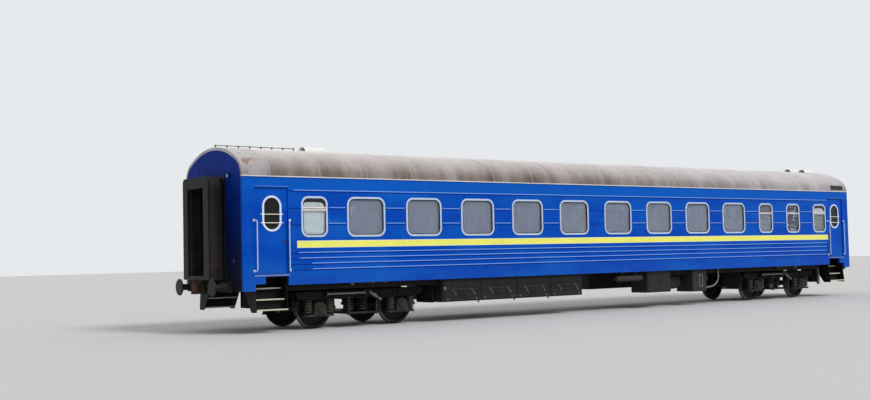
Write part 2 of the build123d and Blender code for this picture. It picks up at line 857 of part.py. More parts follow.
# Gangway tubes: one rubber roller each end, bent over the passage between the two portals
tube_length = gangway_reach - 2 * gangway_flange
tube_y = gangway_inner_y + gangway_tube_radius
tube_z = gangway_head_z + gangway_tube_radius
with BuildPart() as gangway_tubes:
    for end in (-1, 1):
        tube_x = end * (end_x + gangway_face_x) / 2
        with BuildLine():
            FilletPolyline(
                (tube_x, -tube_y, gangway_foot_z),
                (tube_x, -tube_y, tube_z),
                (tube_x, tube_y, tube_z),
                (tube_x, tube_y, gangway_foot_z),
                radius=gangway_corner,
            )
        with BuildSketch(Plane.XY.offset(gangway_foot_z)):
            with Locations((tube_x, -tube_y)):
                RectangleRounded(tube_length, 2 * gangway_tube_radius, gangway_round)
        sweep()
gangway_tubes.part.label = "gangway_tubes"
export_step(gangway_tubes.part, "parts/gangway_tubes.step")

# Side entrance doors: a flush panel with an oval light, guard bars, a handle and hinge halves
side_doors = {"front_left": (-1, -1), "rear_left": (1, -1), "front_right": (-1, 1), "rear_right": (1, 1)}
door_low_z = floor_z + threshold_gap
door_high_z = door_head_z - door_gap
with BuildPart() as side_door:
    with BuildSketch(Plane.XZ.offset(inner_y)):
        with Locations(((door_outer_x + door_inner_x) / 2, (door_low_z + door_high_z) / 2)):
            Rectangle(doorway_width - 2 * door_gap, door_high_z - door_low_z)
        add(door_oval(trim_width), mode=Mode.SUBTRACT)
    extrude(amount=door_thickness)
    with BuildSketch(Plane.XZ.offset(inner_y + door_thickness)):
        add(door_oval(0))
        add(door_oval(trim_width), mode=Mode.SUBTRACT)
        with Locations(*[(door_light_x, z) for z in guard_bars_z]):
            Rectangle(guard_bar_length, trim_depth)
    extrude(amount=trim_depth)
    with BuildSketch(Plane.XZ.offset(inner_y + door_thickness)):
        with Locations((door_inner_x + handle_inset, handle_z)):
            RectangleRounded(handle_length, handle_height, handle_height / 3)
    extrude(amount=handle_depth)
    for z in side_hinges_z:
        door_knuckle_z = z + knuckle_height + knuckle_gap
        with Locations((hinge_x, -hinge_y, door_knuckle_z)):
            Cylinder(knuckle_radius, knuckle_height)
        with Locations((hinge_x - leaf_length / 2, -inner_y + leaf_thickness / 2, door_knuckle_z)):
            Box(leaf_length, leaf_thickness, knuckle_height)
with BuildPart() as side_door_pane:
    with BuildSketch(Plane.XZ.offset(inner_y + door_thickness / 2)):
        add(door_oval(trim_width + fit_gap))
    extrude(amount=glass_thickness)
for place, (end, side) in side_doors.items():
    for piece, stem in ((side_door, "side_door"), (side_door_pane, "side_door_glass")):
        with BuildPart() as placed:
            add(piece.part)
            if end < 0:
                mirror(about=Plane.YZ, mode=Mode.REPLACE)
            if side > 0:
                mirror(about=Plane.XZ, mode=Mode.REPLACE)
        placed.part.label = f"{stem}_{place}"
        export_step(placed.part, f"parts/{stem}_{place}.step")

# End doors: a narrow panel with a rectangular light, hinged on the inner face of the end wall
end_door_low_z = floor_z + threshold_gap
end_door_high_z = end_door_head_z - door_gap
with BuildPart() as end_door:
    with BuildSketch(Plane.YZ.offset(inner_end_x)):
        with Locations((0, (end_door_low_z + end_door_high_z) / 2)):
            Rectangle(2 * end_hinge_y, end_door_high_z - end_door_low_z)
        with Locations((0, end_light_z)):
            RectangleRounded(end_light_width, end_light_height, trim_width, mode=Mode.SUBTRACT)
    extrude(amount=door_thickness)
    with BuildSketch(Plane.YZ.offset(inner_end_x + door_thickness)):
        with Locations((handle_inset - end_hinge_y, handle_z)):
            RectangleRounded(handle_length, handle_height, handle_height / 3)
    extrude(amount=handle_depth)
    for z in end_hinges_z:
        door_knuckle_z = z + knuckle_height + knuckle_gap
        with Locations((inner_end_x - leaf_seat, end_hinge_y, door_knuckle_z)):
            Cylinder(knuckle_radius, knuckle_height)
        with Locations((inner_end_x - leaf_thickness / 2, end_hinge_y - leaf_length / 2, door_knuckle_z)):
            Box(leaf_thickness, leaf_length, knuckle_height)
with BuildPart() as end_door_pane:
    with BuildSketch(Plane.YZ.offset(inner_end_x + door_thickness / 2)):
        with Locations((0, end_light_z)):
            RectangleRounded(
                end_light_width - 2 * fit_gap, end_light_height - 2 * fit_gap, trim_width - fit_gap
            )
    extrude(amount=glass_thickness)
for place, turn in (("rear", 0), ("front", 180)):
    for piece, stem in ((end_door, "end_door"), (end_door_pane, "end_door_glass")):
        with BuildPart() as placed:
            with Locations(Location((0, 0, 0), (0, 0, turn))):
                add(piece.part)
        placed.part.label = f"{stem}_{place}"
        export_step(placed.part, f"parts/{stem}_{place}.step")

# Step covers: plates flush with the floor over the entrance wells, hinged on their inner-end edge
cover_outer_x = well_outer_x - moving_gap
cover_inner_x = cover_hinge_x + cover_knuckle_radius + moving_gap
for place, (end, side) in side_doors.items():
    with BuildPart() as step_cover:
        with Locations((end * (cover_outer_x + cover_inner_x) / 2, side * cover_y, floor_z)):
            Box(cover_outer_x - cover_inner_x, cover_depth, cover_thickness, align=hanging)
        knuckle_y = side * cover_y + cover_knuckle_length + knuckle_gap
        with Locations((end * cover_hinge_x, knuckle_y, floor_z)):
            with GridLocations(0, cover_hinge_spacing, 1, 2):
                Cylinder(cover_knuckle_radius, cover_knuckle_length, rotation=(90, 0, 0))
        with Locations((end * (cover_hinge_x + cover_leaf / 2), knuckle_y, floor_z)):
            with GridLocations(0, cover_hinge_spacing, 1, 2):
                Box(cover_leaf, cover_knuckle_length, cover_knuckle_radius, align=hanging)
    step_cover.part.label = f"step_cover_{place}"
    export_step(step_cover.part, f"parts/step_cover_{place}.step")

# Entrance steps: three treads between two cheek plates below each doorway
low_tread_z, low_tread_gap = tread_table[0]
high_tread_z, high_tread_gap = tread_table[-1]
cheek_front_y = side_y - low_tread_gap - cheek_setback
cheek_low_z = low_tread_z - tread_thickness - cheek_drop
with BuildPart() as entrance_steps:
    for end in (-1, 1):
        for z, front_gap in tread_table:
            tread_y = side_y - front_gap - tread_depth / 2
            with Locations((end * (well_outer_x + well_inner_x) / 2, -tread_y, z)):
                Box(well_outer_x - well_inner_x, tread_depth, tread_thickness, align=hanging)
        for x in (well_outer_x + cheek_thickness / 2, well_inner_x - cheek_thickness / 2):
            with BuildSketch(Plane.YZ.offset(end * x - cheek_thickness / 2)):
                with BuildLine():
                    Polyline(
                        (-cheek_front_y, cheek_low_z),
                        (-cheek_front_y, low_tread_z + cheek_rise),
                        (cheek_wall_gap - inner_y, apron_z - cheek_rise),
                        (cheek_wall_gap - inner_y, deck_z + deck_thickness),
                        (high_tread_gap + tread_depth - side_y, deck_z + deck_thickness),
                        (high_tread_gap + tread_depth - side_y, high_tread_z - tread_thickness - cheek_drop),
                        (low_tread_gap + tread_depth - side_y, cheek_low_z),
                        close=True,
                    )
                make_face()
            extrude(amount=cheek_thickness)
    mirror(about=Plane.XZ)
entrance_steps.part.label = "entrance_steps"
export_step(entrance_steps.part, "parts/entrance_steps.step")

# Hand rails: bent tubes on square feet, one each side of every side doorway
rail_y = side_y + hand_rail_standoff
with BuildPart() as hand_rails:
    for end in (-1, 1):
        for x in hand_rails_x:
            with BuildLine():
                FilletPolyline(
                    (end * x, -side_y, hand_rail_low_z),
                    (end * x, -rail_y, hand_rail_low_z),
                    (end * x, -rail_y, hand_rail_high_z),
                    (end * x, -side_y, hand_rail_high_z),
                    radius=hand_rail_bend,
                )
            with BuildSketch(Plane.XZ.offset(side_y)):
                with Locations((end * x, hand_rail_low_z)):
                    Circle(hand_rail_radius)
            sweep()
            with BuildSketch(Plane.XZ.offset(side_y)):
                with Locations((end * x, hand_rail_low_z), (end * x, hand_rail_high_z)):
                    Rectangle(hand_rail_foot, hand_rail_foot)
            extrude(amount=hand_rail_foot_depth)
    mirror(about=Plane.XZ)
hand_rails.part.label = "hand_rails"
export_step(hand_rails.part, "parts/hand_rails.step")

# Couplers: an automatic coupler's shank and clawed head at each end. Outline from the coupling face.
head_profile = [
    (-head_length, -80),
    (-head_length, 100),
    (-150, 175),
    (20, 205),
    (110, 205),
    (165, 120),
    (60, 95),
    (15, 20),
    (40, -60),
    (-10, -110),
    (-10, -205),
    (-130, -190),
]
shank_length = coupling_reach - head_length + coupler_pocket_depth
with BuildPart() as couplers:
    for end in (-1, 1):
        with BuildSketch(Plane.XY.offset(coupler_z - head_height / 2)):
            with BuildLine():
                Polyline(*[(end * (coupling_x + x), end * y) for x, y in head_profile], close=True)
            make_face()
        extrude(amount=head_height)
        with Locations((end * (coupler_pocket_x + shank_length / 2), 0, coupler_z)):
            Box(shank_length, shank_width, shank_height)
couplers.part.label = "couplers"
export_step(couplers.part, "parts/couplers.step")

# Buffers: a sprung plunger in a flanged case each side of both ends, turned as one profile
with BuildPart() as buffers:
    for end in (-1, 1):
        for side in (-1, 1):
            origin = (end * end_x, side * buffer_y, coupler_z)
            with BuildSketch(Plane(origin=origin, x_dir=(end, 0, 0), z_dir=(0, -end, 0))):
                with BuildLine():
                    Polyline(
                        (0, 0),
                        (0, buffer_base_radius),
                        (buffer_base_depth, buffer_base_radius),
                        (buffer_base_depth, buffer_case_radius + buffer_case_draft),
                        (buffer_case_length, buffer_case_radius),
                        (buffer_case_length, buffer_plunger_radius),
                        (buffer_reach - buffer_head_thickness, buffer_plunger_radius),
                        (buffer_reach - buffer_head_thickness, buffer_head_radius),
                        (buffer_reach - buffer_head_chamfer, buffer_head_radius),
                        (buffer_reach, buffer_head_radius - buffer_head_chamfer),
                        (buffer_reach, 0),
                        close=True,
                    )
                make_face()
            revolve(axis=Axis(origin, (1, 0, 0)))
buffers.part.label = "buffers"
export_step(buffers.part, "parts/buffers.step")

# Battery box: a row of bays hung below the left side, each with a pressed, top-hinged door
battery_height = box_top_z - battery_low_z
battery_door_y = battery_outer_y + door_relief
with BuildPart() as battery_box:
    battery_middle_x = (battery_start + battery_end) / 2
    with BuildSketch(Plane.YZ.offset(battery_start)):
        add(box_profile(battery_depth / 2 - battery_outer_y, battery_depth, battery_low_z))
    extrude(amount=battery_end - battery_start)
    with BuildSketch(Plane.XZ.offset(battery_outer_y)):
        with Locations((battery_middle_x, box_top_z - battery_height / 2)):
            with GridLocations(battery_bay, 0, battery_bays, 1):
                RectangleRounded(battery_bay - 2 * door_margin, battery_height - 2 * door_margin, box_corner)
    extrude(amount=door_relief)
    with BuildSketch(Plane.XZ.offset(battery_door_y)):
        for offset, width, left_angle, right_angle in pressings:
            with Locations((battery_middle_x + offset, pressing_middle_z)):
                with GridLocations(battery_bay, 0, battery_bays, 1):
                    Trapezoid(width, pressing_height, right_angle, left_angle, rotation=180)
    extrude(amount=pressing_depth, taper=pressing_taper)
    with Locations((battery_middle_x, -battery_door_y, box_top_z - door_margin)):
        with GridLocations(battery_bay / 2, 0, 2 * battery_bays, 1):
            Cylinder(hinge_pin_radius, hinge_pin_length, rotation=(0, 90, 0))
    with Locations((battery_middle_x, drain_inset - battery_outer_y, battery_low_z)):
        with GridLocations(battery_bay, 0, battery_bays - 1, 1):
            Cylinder(drain_radius, drain_length, align=hanging)
    with Locations((battery_middle_x, -(side_beam_y + equipment_rail_y) / 2, box_top_z)):
        hanger_pitch = battery_bay - hanger_size / battery_bays
        with GridLocations(hanger_pitch, side_beam_y - equipment_rail_y, battery_bays + 1, 2):
            Box(hanger_size, hanger_size, hanger_height, align=standing)
battery_box.part.label = "battery_box"
export_step(battery_box.part, "parts/battery_box.step")

# Equipment lockers: closed boxes on both sides, each with one door and its handle
with BuildPart() as equipment_lockers:
    for start, length, side, depth, low_z in lockers:
        with BuildSketch(Plane.YZ.offset(start)):
            add(box_profile(side * (locker_outer_y - depth / 2), depth, low_z))
        extrude(amount=length)
        face_y = side * locker_outer_y
        with BuildSketch(Plane(origin=(start + length / 2, face_y, 0), x_dir=(1, 0, 0), z_dir=(0, side, 0))):
            with Locations((0, -side * (box_top_z + low_z) / 2)):
                RectangleRounded(length - 2 * door_margin, box_top_z - low_z - 2 * door_margin, box_corner)
        extrude(amount=door_relief)
        with Locations((start + length / 2, side * (locker_outer_y + door_relief), low_z + locker_handle_z)):
            Box(locker_handle_length, 2 * door_relief, locker_handle_height, align=standing)
        with Locations((start + length / 2, side * (side_beam_y + equipment_rail_y) / 2, box_top_z)):
            with GridLocations(length - hanger_size, side_beam_y - equipment_rail_y, 2, 2):
                Box(hanger_size, hanger_size, hanger_height, align=standing)
equipment_lockers.part.label = "equipment_lockers"
export_step(equipment_lockers.part, "parts/equipment_lockers.step")

# Air reservoirs: domed tanks, each hung from the underframe by two hangers with strap rings
with BuildPart() as air_reservoirs:
    for x, y, radius, length, z in reservoirs:
        with BuildSketch(Plane(origin=(x, y, z), x_dir=(1, 0, 0), z_dir=(0, -1, 0))) as half:
            Rectangle(length, radius, align=(Align.CENTER, Align.MIN))
            fillet(half.vertices().group_by(Axis.Y)[-1], tank_dome)
        revolve(axis=Axis((x, y, z), (1, 0, 0)))
        with Locations((x, y, z)):
            with GridLocations(length / 2, 0, 2, 1):
                Cylinder(radius + strap_depth, strap_width, rotation=(0, 90, 0))
                Box(strap_width, strap_width, deck_z - sill_beam_height - z, align=standing)
air_reservoirs.part.label = "air_reservoirs"
export_step(air_reservoirs.part, "parts/air_reservoirs.step")

# Waste pipes: a bent drop pipe below the wash room at each end
with BuildPart() as waste_pipes:
    for end, y in waste_pipe_places:
        top_x = end * (pipe_x - pipe_offset)
        with BuildLine():
            FilletPolyline(
                (top_x, y, deck_z),
                (top_x, y, pipe_knee_z),
                (end * pipe_x, y, pipe_elbow_z),
                (end * pipe_x, y, pipe_low_z),
                radius=pipe_bend,
            )
        with BuildSketch(Plane(origin=(top_x, y, deck_z), z_dir=(0, 0, -1))):
            Circle(pipe_radius)
        sweep()
waste_pipes.part.label = "waste_pipes"
export_step(waste_pipes.part, "parts/waste_pipes.step")

# Wheelsets: an axle with two flanged wheels, turned as one profile, from the middle outwards
tread_y = wheel_back_y + flange_thickness
wheel_front_y = wheel_back_y + wheel_width
web_y = (wheel_back_y + wheel_front_y) / 2
rim_inner = wheel_radius - rim_thickness
for bogie, end in (("front", -1), ("rear", 1)):
    for axle, offset in (("outer", end * wheelbase / 2), ("inner", -end * wheelbase / 2)):
        axle_x = end * bogie_x + offset
        with BuildPart() as wheelset:
            with BuildSketch(Plane(origin=(axle_x, 0, axle_z), x_dir=(0, 1, 0), z_dir=(1, 0, 0))):
                with BuildLine():
                    Polyline(
                        (0, 0),
                        (0, axle_radius),
                        (wheel_back_y - axle_shoulder, axle_radius),
                        (wheel_back_y - hub_proud, wheel_seat_radius),
                        (wheel_back_y - hub_proud, hub_radius),
                        (web_y - web_thickness, hub_radius + rim_step),
                        (web_y - web_thickness / 2, rim_inner - rim_step),
                        (wheel_back_y, rim_inner),
                        (wheel_back_y, flange_radius - rim_step / 2),
                        (wheel_back_y + rim_step / 2, flange_radius),
                        (wheel_back_y + rim_step, flange_radius),
                        (tread_y, wheel_radius + tread_cone),
                        (wheel_front_y, wheel_radius - tread_cone),
                        (wheel_front_y, rim_inner),
                        (web_y + web_thickness / 2, rim_inner - rim_step),
                        (web_y + web_thickness, hub_radius + rim_step),
                        (wheel_front_y + hub_proud, hub_radius),
                        (wheel_front_y + hub_proud, wheel_seat_radius),
                        (wheel_front_y + wheel_seat_end, wheel_seat_radius),
                        (wheel_front_y + wheel_seat_end + hub_proud, journal_radius),
                        (journal_end_y, journal_radius),
                        (journal_end_y, 0),
                        close=True,
                    )
                make_face()
                mirror(about=Plane.YZ)
            revolve(axis=Axis((axle_x, 0, axle_z), (0, 1, 0)))
        wheelset.part.label = f"wheelset_{bogie}_{axle}"
        export_step(wheelset.part, f"parts/wheelset_{bogie}_{axle}.step")

# Coil springs, each standing on its seat: the axle springs and the larger cradle springs
with BuildPart() as axle_spring:
    with BuildSketch(Plane.XZ):
        add(coil_profile(spring_radius, frame_z - cup_height - wing_z))
    revolve(axis=Axis.Z)
with BuildPart() as cradle_spring:
    with BuildSketch(Plane.XZ):
        add(coil_profile(cradle_spring_radius, swing_bolster_z - plank_z - plank_thickness))
    revolve(axis=Axis.Z)

# Bogies
for bogie, end in (("front", -1), ("rear", 1)):
    middle = end * bogie_x
    axles = (-wheelbase / 2, wheelbase / 2)

    # Bogie frame: tapered I-section side beams with spring cups, hanger pins and lugs, two cross beams and
    # two end beams
    with BuildPart() as bogie_frame:
        half_beam = frame_beam_length / 2
        for side in (-1, 1):
            with BuildSketch(Plane.XZ.offset(-side * frame_y - frame_beam_width / 2)):
                with BuildLine():
                    Polyline(
                        (middle - half_beam + tip_length, frame_z),
                        (middle + half_beam - tip_length, frame_z),
                        (middle + half_beam, frame_z + tip_rise),
                        (middle + half_beam, frame_z + frame_height),
                        (middle - half_beam, frame_z + frame_height),
                        (middle - half_beam, frame_z + tip_rise),
                        close=True,
                    )
                make_face()
            extrude(amount=frame_beam_width)
            pocket_pitch = 2 * (half_beam - tip_length) / frame_pockets
            with Locations((middle, side * (frame_face_y + web_face_y) / 2, frame_z + frame_height / 2)):
                with GridLocations(pocket_pitch, 0, frame_pockets, 1):
                    Box(
                        pocket_pitch - frame_flange,
                        frame_recess,
                        frame_height - 2 * frame_flange,
                        mode=Mode.SUBTRACT,
                    )
            for x in axles:
                with Locations((middle + x, side * frame_y, frame_z)):
                    with GridLocations(2 * spring_offset, 0, 2, 1):
                        Cylinder(cup_radius, cup_height, align=hanging)
            with Locations((middle, side * (web_face_y + hanger_y + hanger_thickness) / 2, hanger_top_z)):
                with GridLocations(2 * hanger_x, 0, 2, 1):
                    Cylinder(
                        pin_radius,
                        hanger_y + hanger_thickness - web_face_y + moving_gap,
                        rotation=(90, 0, 0),
                    )
            with Locations((middle + side * (rod_far_x + lug_thickness / 2), side * web_face_y, rod_z)):
                Box(
                    lug_thickness,
                    2 * (rod_y + lug_radius - web_face_y),
                    2 * bush_radius,
                )
            low_lug_y = frame_face_y - lug_thickness / 2
            with Locations((middle - side * damper_low_x, side * low_lug_y, damper_low_z)):
                Cylinder(lug_radius, lug_thickness, rotation=(90, 0, 0))
                Box(2 * lug_radius, lug_thickness, frame_z + frame_flange - damper_low_z, align=standing)
            with Locations((middle - side * damper_low_x, side * (web_face_y + damper_y) / 2, damper_low_z)):
                Cylinder(damper_pin_radius, damper_y - web_face_y + damper_width, rotation=(90, 0, 0))
        for x in (-cross_beam_x, cross_beam_x):
            with Locations((middle + x, 0, frame_z)):
                Box(cross_beam_width, 2 * frame_y, frame_height, align=standing)
        for x in (-1, 1):
            with Locations((middle + x * (half_beam - end_beam_width / 2), 0, frame_z + tip_rise)):
                Box(end_beam_width, 2 * frame_y, frame_height - tip_rise, align=standing)
    bogie_frame.part.label = f"bogie_frame_{bogie}"
    export_step(bogie_frame.part, f"parts/bogie_frame_{bogie}.step")

    # Axle boxes: a round housing with a stepped cap on a winged saddle that carries two springs
    with BuildPart() as axle_boxes:
        for x in axles:
            for side in (-1, 1):
                bore = Plane(
                    origin=(middle + x, side * (box_y - box_width / 2), axle_z),
                    x_dir=(1, 0, 0),
                    z_dir=(0, side, 0),
                )
                with BuildSketch(bore):
                    Circle(box_radius)
                extrude(amount=box_width)
                with BuildSketch(bore.offset(saddle_margin)):
                    with BuildLine():
                        Polyline(
                            (-saddle_head, 0),
                            (saddle_head, 0),
                            (saddle_foot, side * (axle_z - wing_z)),
                            (-saddle_foot, side * (axle_z - wing_z)),
                            close=True,
                        )
                    make_face()
                extrude(amount=box_width - 2 * saddle_margin)
                with Locations((middle + x, side * box_y, wing_z)):
                    Box(2 * spring_offset, wing_width, wing_thickness, align=hanging)
                    with GridLocations(2 * spring_offset, 0, 2, 1):
                        Cylinder(spring_seat_radius, wing_thickness, align=hanging)
                for start, radius, depth in (
                    (box_width, box_cap_radius, box_cap_depth),
                    (box_width + box_cap_depth, box_boss_radius, box_boss_depth),
                ):
                    with BuildSketch(bore.offset(start)):
                        Circle(radius)
                    extrude(amount=depth)
                with BuildSketch(bore):
                    Circle(journal_radius + journal_gap)
                extrude(amount=journal_end_y - box_y + box_width / 2 + moving_gap, mode=Mode.SUBTRACT)
    axle_boxes.part.label = f"axle_boxes_{bogie}"
    export_step(axle_boxes.part, f"parts/axle_boxes_{bogie}.step")

    # Springs: the axle springs on the saddles and the larger pairs on the spring plank
    with BuildPart() as bogie_springs:
        for side in (-1, 1):
            for x in axles:
                with Locations((middle + x, side * box_y, wing_z)):
                    with GridLocations(2 * spring_offset, 0, 2, 1):
                        add(axle_spring.part)
            with Locations((middle, side * cradle_spring_y, plank_z + plank_thickness)):
                with GridLocations(2 * cradle_spring_offset, 0, 2, 1):
                    add(cradle_spring.part)
    bogie_springs.part.label = f"bogie_springs_{bogie}"
    export_step(bogie_springs.part, f"parts/bogie_springs_{bogie}.step")

    # Swing bolster: the deep-bellied cross member under the body's pivot and side bearers, with an arm over
    # each side beam that carries the anchor rod's bracket and the damper's upper lug
    with BuildPart() as swing_bolster:
        bolster_top_z = swing_bolster_z + swing_bolster_height
        half_bolster = swing_bolster_length / 2
        with BuildSketch(Plane.YZ.offset(middle - swing_bolster_width / 2)):
            with BuildLine():
                Polyline(
                    (-half_bolster, bolster_top_z),
                    (-half_bolster, swing_bolster_z),
                    (-belly_y - belly_rise, swing_bolster_z),
                    (-belly_y, swing_bolster_z - bolster_belly),
                    (belly_y, swing_bolster_z - bolster_belly),
                    (belly_y + belly_rise, swing_bolster_z),
                    (half_bolster, swing_bolster_z),
                    (half_bolster, bolster_top_z),
                    close=True,
                )
            make_face()
        extrude(amount=swing_bolster_width)
        with Locations((middle, 0, bolster_top_z)):
            Cylinder(lower_pivot_radius, pivot_plate_z - bolster_top_z - knuckle_gap, align=standing)
            with GridLocations(0, 2 * bearer_y, 1, 2):
                Cylinder(bearer_radius, bearer_top_z - bolster_top_z, align=standing)
        lug_y = damper_y - damper_width / 2 - fit_gap - lug_thickness / 2
        damper_pin_end = damper_y + damper_width / 2 + moving_gap
        for side in (-1, 1):
            arm_start_y = half_bolster - moving_gap
            arm_length = damper_top_x + lug_radius - bracket_near_x
            arm_x = middle - side * (bracket_near_x + arm_length / 2)
            with Locations((arm_x, side * (arm_start_y + rod_y + bracket_width / 2) / 2, bolster_top_z)):
                Box(arm_length, rod_y + bracket_width / 2 - arm_start_y, arm_thickness, align=hanging)
            bracket_far_x = middle - side * (bracket_near_x + bracket_length)
            with BuildSketch(Plane.XZ.offset(-side * rod_y - bracket_width / 2)):
                with BuildLine():
                    Polyline(
                        (middle - side * bracket_near_x, bolster_top_z),
                        (bracket_far_x, bolster_top_z),
                        (bracket_far_x, bolster_top_z - 2 * arm_thickness),
                        (bracket_far_x + side * bracket_taper, bracket_low_z),
                        (middle - side * bracket_near_x, bracket_low_z),
                        close=True,
                    )
                make_face()
            extrude(amount=bracket_width)
            with Locations((middle - side * damper_top_x, side * lug_y, damper_top_z)):
                Cylinder(lug_radius, lug_thickness, rotation=(90, 0, 0))
                Box(2 * lug_radius, lug_thickness, bolster_top_z - damper_top_z, align=standing)
            with Locations((middle - side * damper_top_x, side * (lug_y + damper_pin_end) / 2, damper_top_z)):
                Cylinder(damper_pin_radius, damper_pin_end - lug_y, rotation=(90, 0, 0))
    swing_bolster.part.label = f"swing_bolster_{bogie}"
    export_step(swing_bolster.part, f"parts/swing_bolster_{bogie}.step")

    # Cradle: the spring plank below the springs, the links that hang it from the frame, and on each side
    # an anchor rod with rubber bushes and a damper
    with BuildPart() as cradle:
        with Locations((middle, 0, plank_z)):
            Box(plank_length, 2 * plank_end_y, plank_thickness, align=standing)
            with GridLocations(plank_length - plank_edge, 0, 2, 1):
                Box(plank_edge, 2 * plank_end_y, plank_edge_height, align=standing)
        for side in (-1, 1):
            for x in (-hanger_x, hanger_x):
                pin_length = hanger_thickness + 3 * moving_gap
                pin_y = plank_end_y + pin_length / 2 - moving_gap
                with Locations((middle + x, side * pin_y, hanger_low_z)):
                    Cylinder(pin_radius, pin_length, rotation=(90, 0, 0))
                link_y = hanger_y + hanger_thickness / 2
                with BuildSketch(Plane.XZ.offset(-side * link_y - hanger_thickness / 2)):
                    with Locations((middle + x, (hanger_low_z + hanger_top_z) / 2)):
                        Rectangle(hanger_shank, hanger_top_z - hanger_low_z)
                    with Locations((middle + x, hanger_low_z), (middle + x, hanger_top_z)):
                        Circle(hanger_eye_radius)
                        Circle(pin_radius + pin_gap, mode=Mode.SUBTRACT)
                extrude(amount=hanger_thickness)
            rod_length = rod_far_x + bracket_near_x - 2 * fit_gap
            rod_x = middle + side * (rod_far_x - bracket_near_x) / 2
            with Locations((rod_x, side * rod_y, rod_z)):
                Cylinder(rod_radius, rod_length, rotation=(0, 90, 0))
                with GridLocations(rod_length - bush_thickness, 0, 2, 1):
                    Cylinder(bush_radius, bush_thickness, rotation=(0, 90, 0))
            run_x = -side * (damper_low_x - damper_top_x)
            run_z = damper_low_z - damper_top_z
            damper_plane = Plane(
                origin=(middle - side * damper_top_x, side * damper_y, damper_top_z),
                x_dir=(0, 1, 0),
                z_dir=(run_x, 0, run_z),
            )
            damper_length = sqrt(run_x**2 + run_z**2)
            with BuildSketch(damper_plane):
                Circle(damper_rod_radius)
            extrude(amount=damper_length)
            with BuildSketch(damper_plane.offset(damper_case_radius + moving_gap)):
                Circle(damper_case_radius)
            extrude(amount=damper_length / 2)
            with Locations(
                (middle - side * damper_top_x, side * damper_y, damper_top_z),
                (middle - side * damper_low_x, side * damper_y, damper_low_z),
            ):
                Cylinder(lug_radius, damper_width, rotation=(90, 0, 0))
                Cylinder(
                    damper_pin_radius + pin_gap, 2 * damper_width, rotation=(90, 0, 0), mode=Mode.SUBTRACT
                )
    cradle.part.label = f"cradle_{bogie}"
    export_step(cradle.part, f"parts/cradle_{bogie}.step")

    # Brakes: a pair of shoes on each wheel, on beams hung from the frame
    shoe_y = tread_y + moving_gap
    with BuildPart() as brakes:
        for x in axles:
            for side in (-1, 1):
                shoe_plane = Plane(
                    origin=(middle + x, side * shoe_y, axle_z), x_dir=(1, 0, 0), z_dir=(0, side, 0)
                )
                with BuildSketch(shoe_plane):
                    Circle(shoe_radius + shoe_thickness)
                    Circle(shoe_radius, mode=Mode.SUBTRACT)
                    Rectangle(3 * wheel_radius, shoe_height, mode=Mode.INTERSECT)
                extrude(amount=shoe_width)
            for facing in (-1, 1):
                beam_x = middle + x + facing * (shoe_radius + shoe_thickness + brake_beam_width / 2)
                beam_foot_z = frame_z + tip_rise if x * facing > 0 else frame_z
                with Locations((beam_x, 0, axle_z)):
                    Box(brake_beam_width, 2 * (shoe_y + shoe_width), brake_beam_width)
                    with GridLocations(0, 2 * shoe_y + shoe_width, 1, 2):
                        Box(brake_hanger_width, brake_hanger_width, beam_foot_z - axle_z, align=standing)
                with Locations((beam_x - facing * brake_beam_width / 2, 0, axle_z)):
                    with GridLocations(0, 2 * shoe_y + shoe_width, 1, 2):
                        Box(brake_beam_width / 2, shoe_width, brake_beam_width)
    brakes.part.label = f"brakes_{bogie}"
    export_step(brakes.part, f"parts/brakes_{bogie}.step")
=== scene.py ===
import math
import bpy
from mathutils import Matrix, Vector


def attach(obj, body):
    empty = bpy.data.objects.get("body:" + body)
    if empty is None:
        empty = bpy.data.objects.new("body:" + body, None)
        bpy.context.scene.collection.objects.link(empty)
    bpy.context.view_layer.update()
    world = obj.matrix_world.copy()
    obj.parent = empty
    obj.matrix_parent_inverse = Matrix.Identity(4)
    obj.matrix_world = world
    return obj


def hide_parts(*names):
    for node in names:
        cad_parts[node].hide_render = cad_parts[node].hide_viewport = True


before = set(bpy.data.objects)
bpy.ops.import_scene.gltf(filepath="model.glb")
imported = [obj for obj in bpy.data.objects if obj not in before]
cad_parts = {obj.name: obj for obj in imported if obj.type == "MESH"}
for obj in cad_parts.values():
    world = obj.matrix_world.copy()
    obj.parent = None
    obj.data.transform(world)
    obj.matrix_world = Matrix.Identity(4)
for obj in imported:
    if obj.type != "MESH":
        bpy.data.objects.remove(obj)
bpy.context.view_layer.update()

# The camera stands low beside the coach, on its left and well ahead of its front end, and looks back along
# it. Its place, turns and lens were fitted to the coach's corners, windows and wheels.
view_place = (-23.4016, -24.5472, 1.7152)
view_turn = math.radians(36.565)
view_lift = math.radians(2.846)
view_roll = math.radians(-1.278)
view_lens = 46.217
aim = Vector((
    math.sin(view_turn) * math.cos(view_lift),
    math.cos(view_turn) * math.cos(view_lift),
    math.sin(view_lift),
))
level = Vector((math.cos(view_turn), -math.sin(view_turn), 0))
upright = level.cross(aim)
across = math.cos(view_roll) * level + math.sin(view_roll) * upright
above = math.cos(view_roll) * upright - math.sin(view_roll) * level
bpy.ops.object.camera_add()
camera = bpy.context.object
camera.matrix_world = Matrix.Translation(view_place) @ Matrix((across, above, -aim)).transposed().to_4x4()
camera.data.lens = view_lens
camera.data.sensor_width = 36
camera.data.clip_end = 500
bpy.context.scene.camera = camera

# A plain pale studio: one wide floor, a soft key light high on the left side, and an even surrounding light
# that shows pale to the camera and in reflections.
floor_size = 300
floor_tone = (0.60, 0.60, 0.59, 1)
floor_rough = 0.9
sky_tone = (0.80, 0.82, 0.84, 1)
fill_strength = 0.60
sun_strength = 1.7
sun_turn = (math.radians(46), 0, math.radians(16))
sun_spread = math.radians(18)


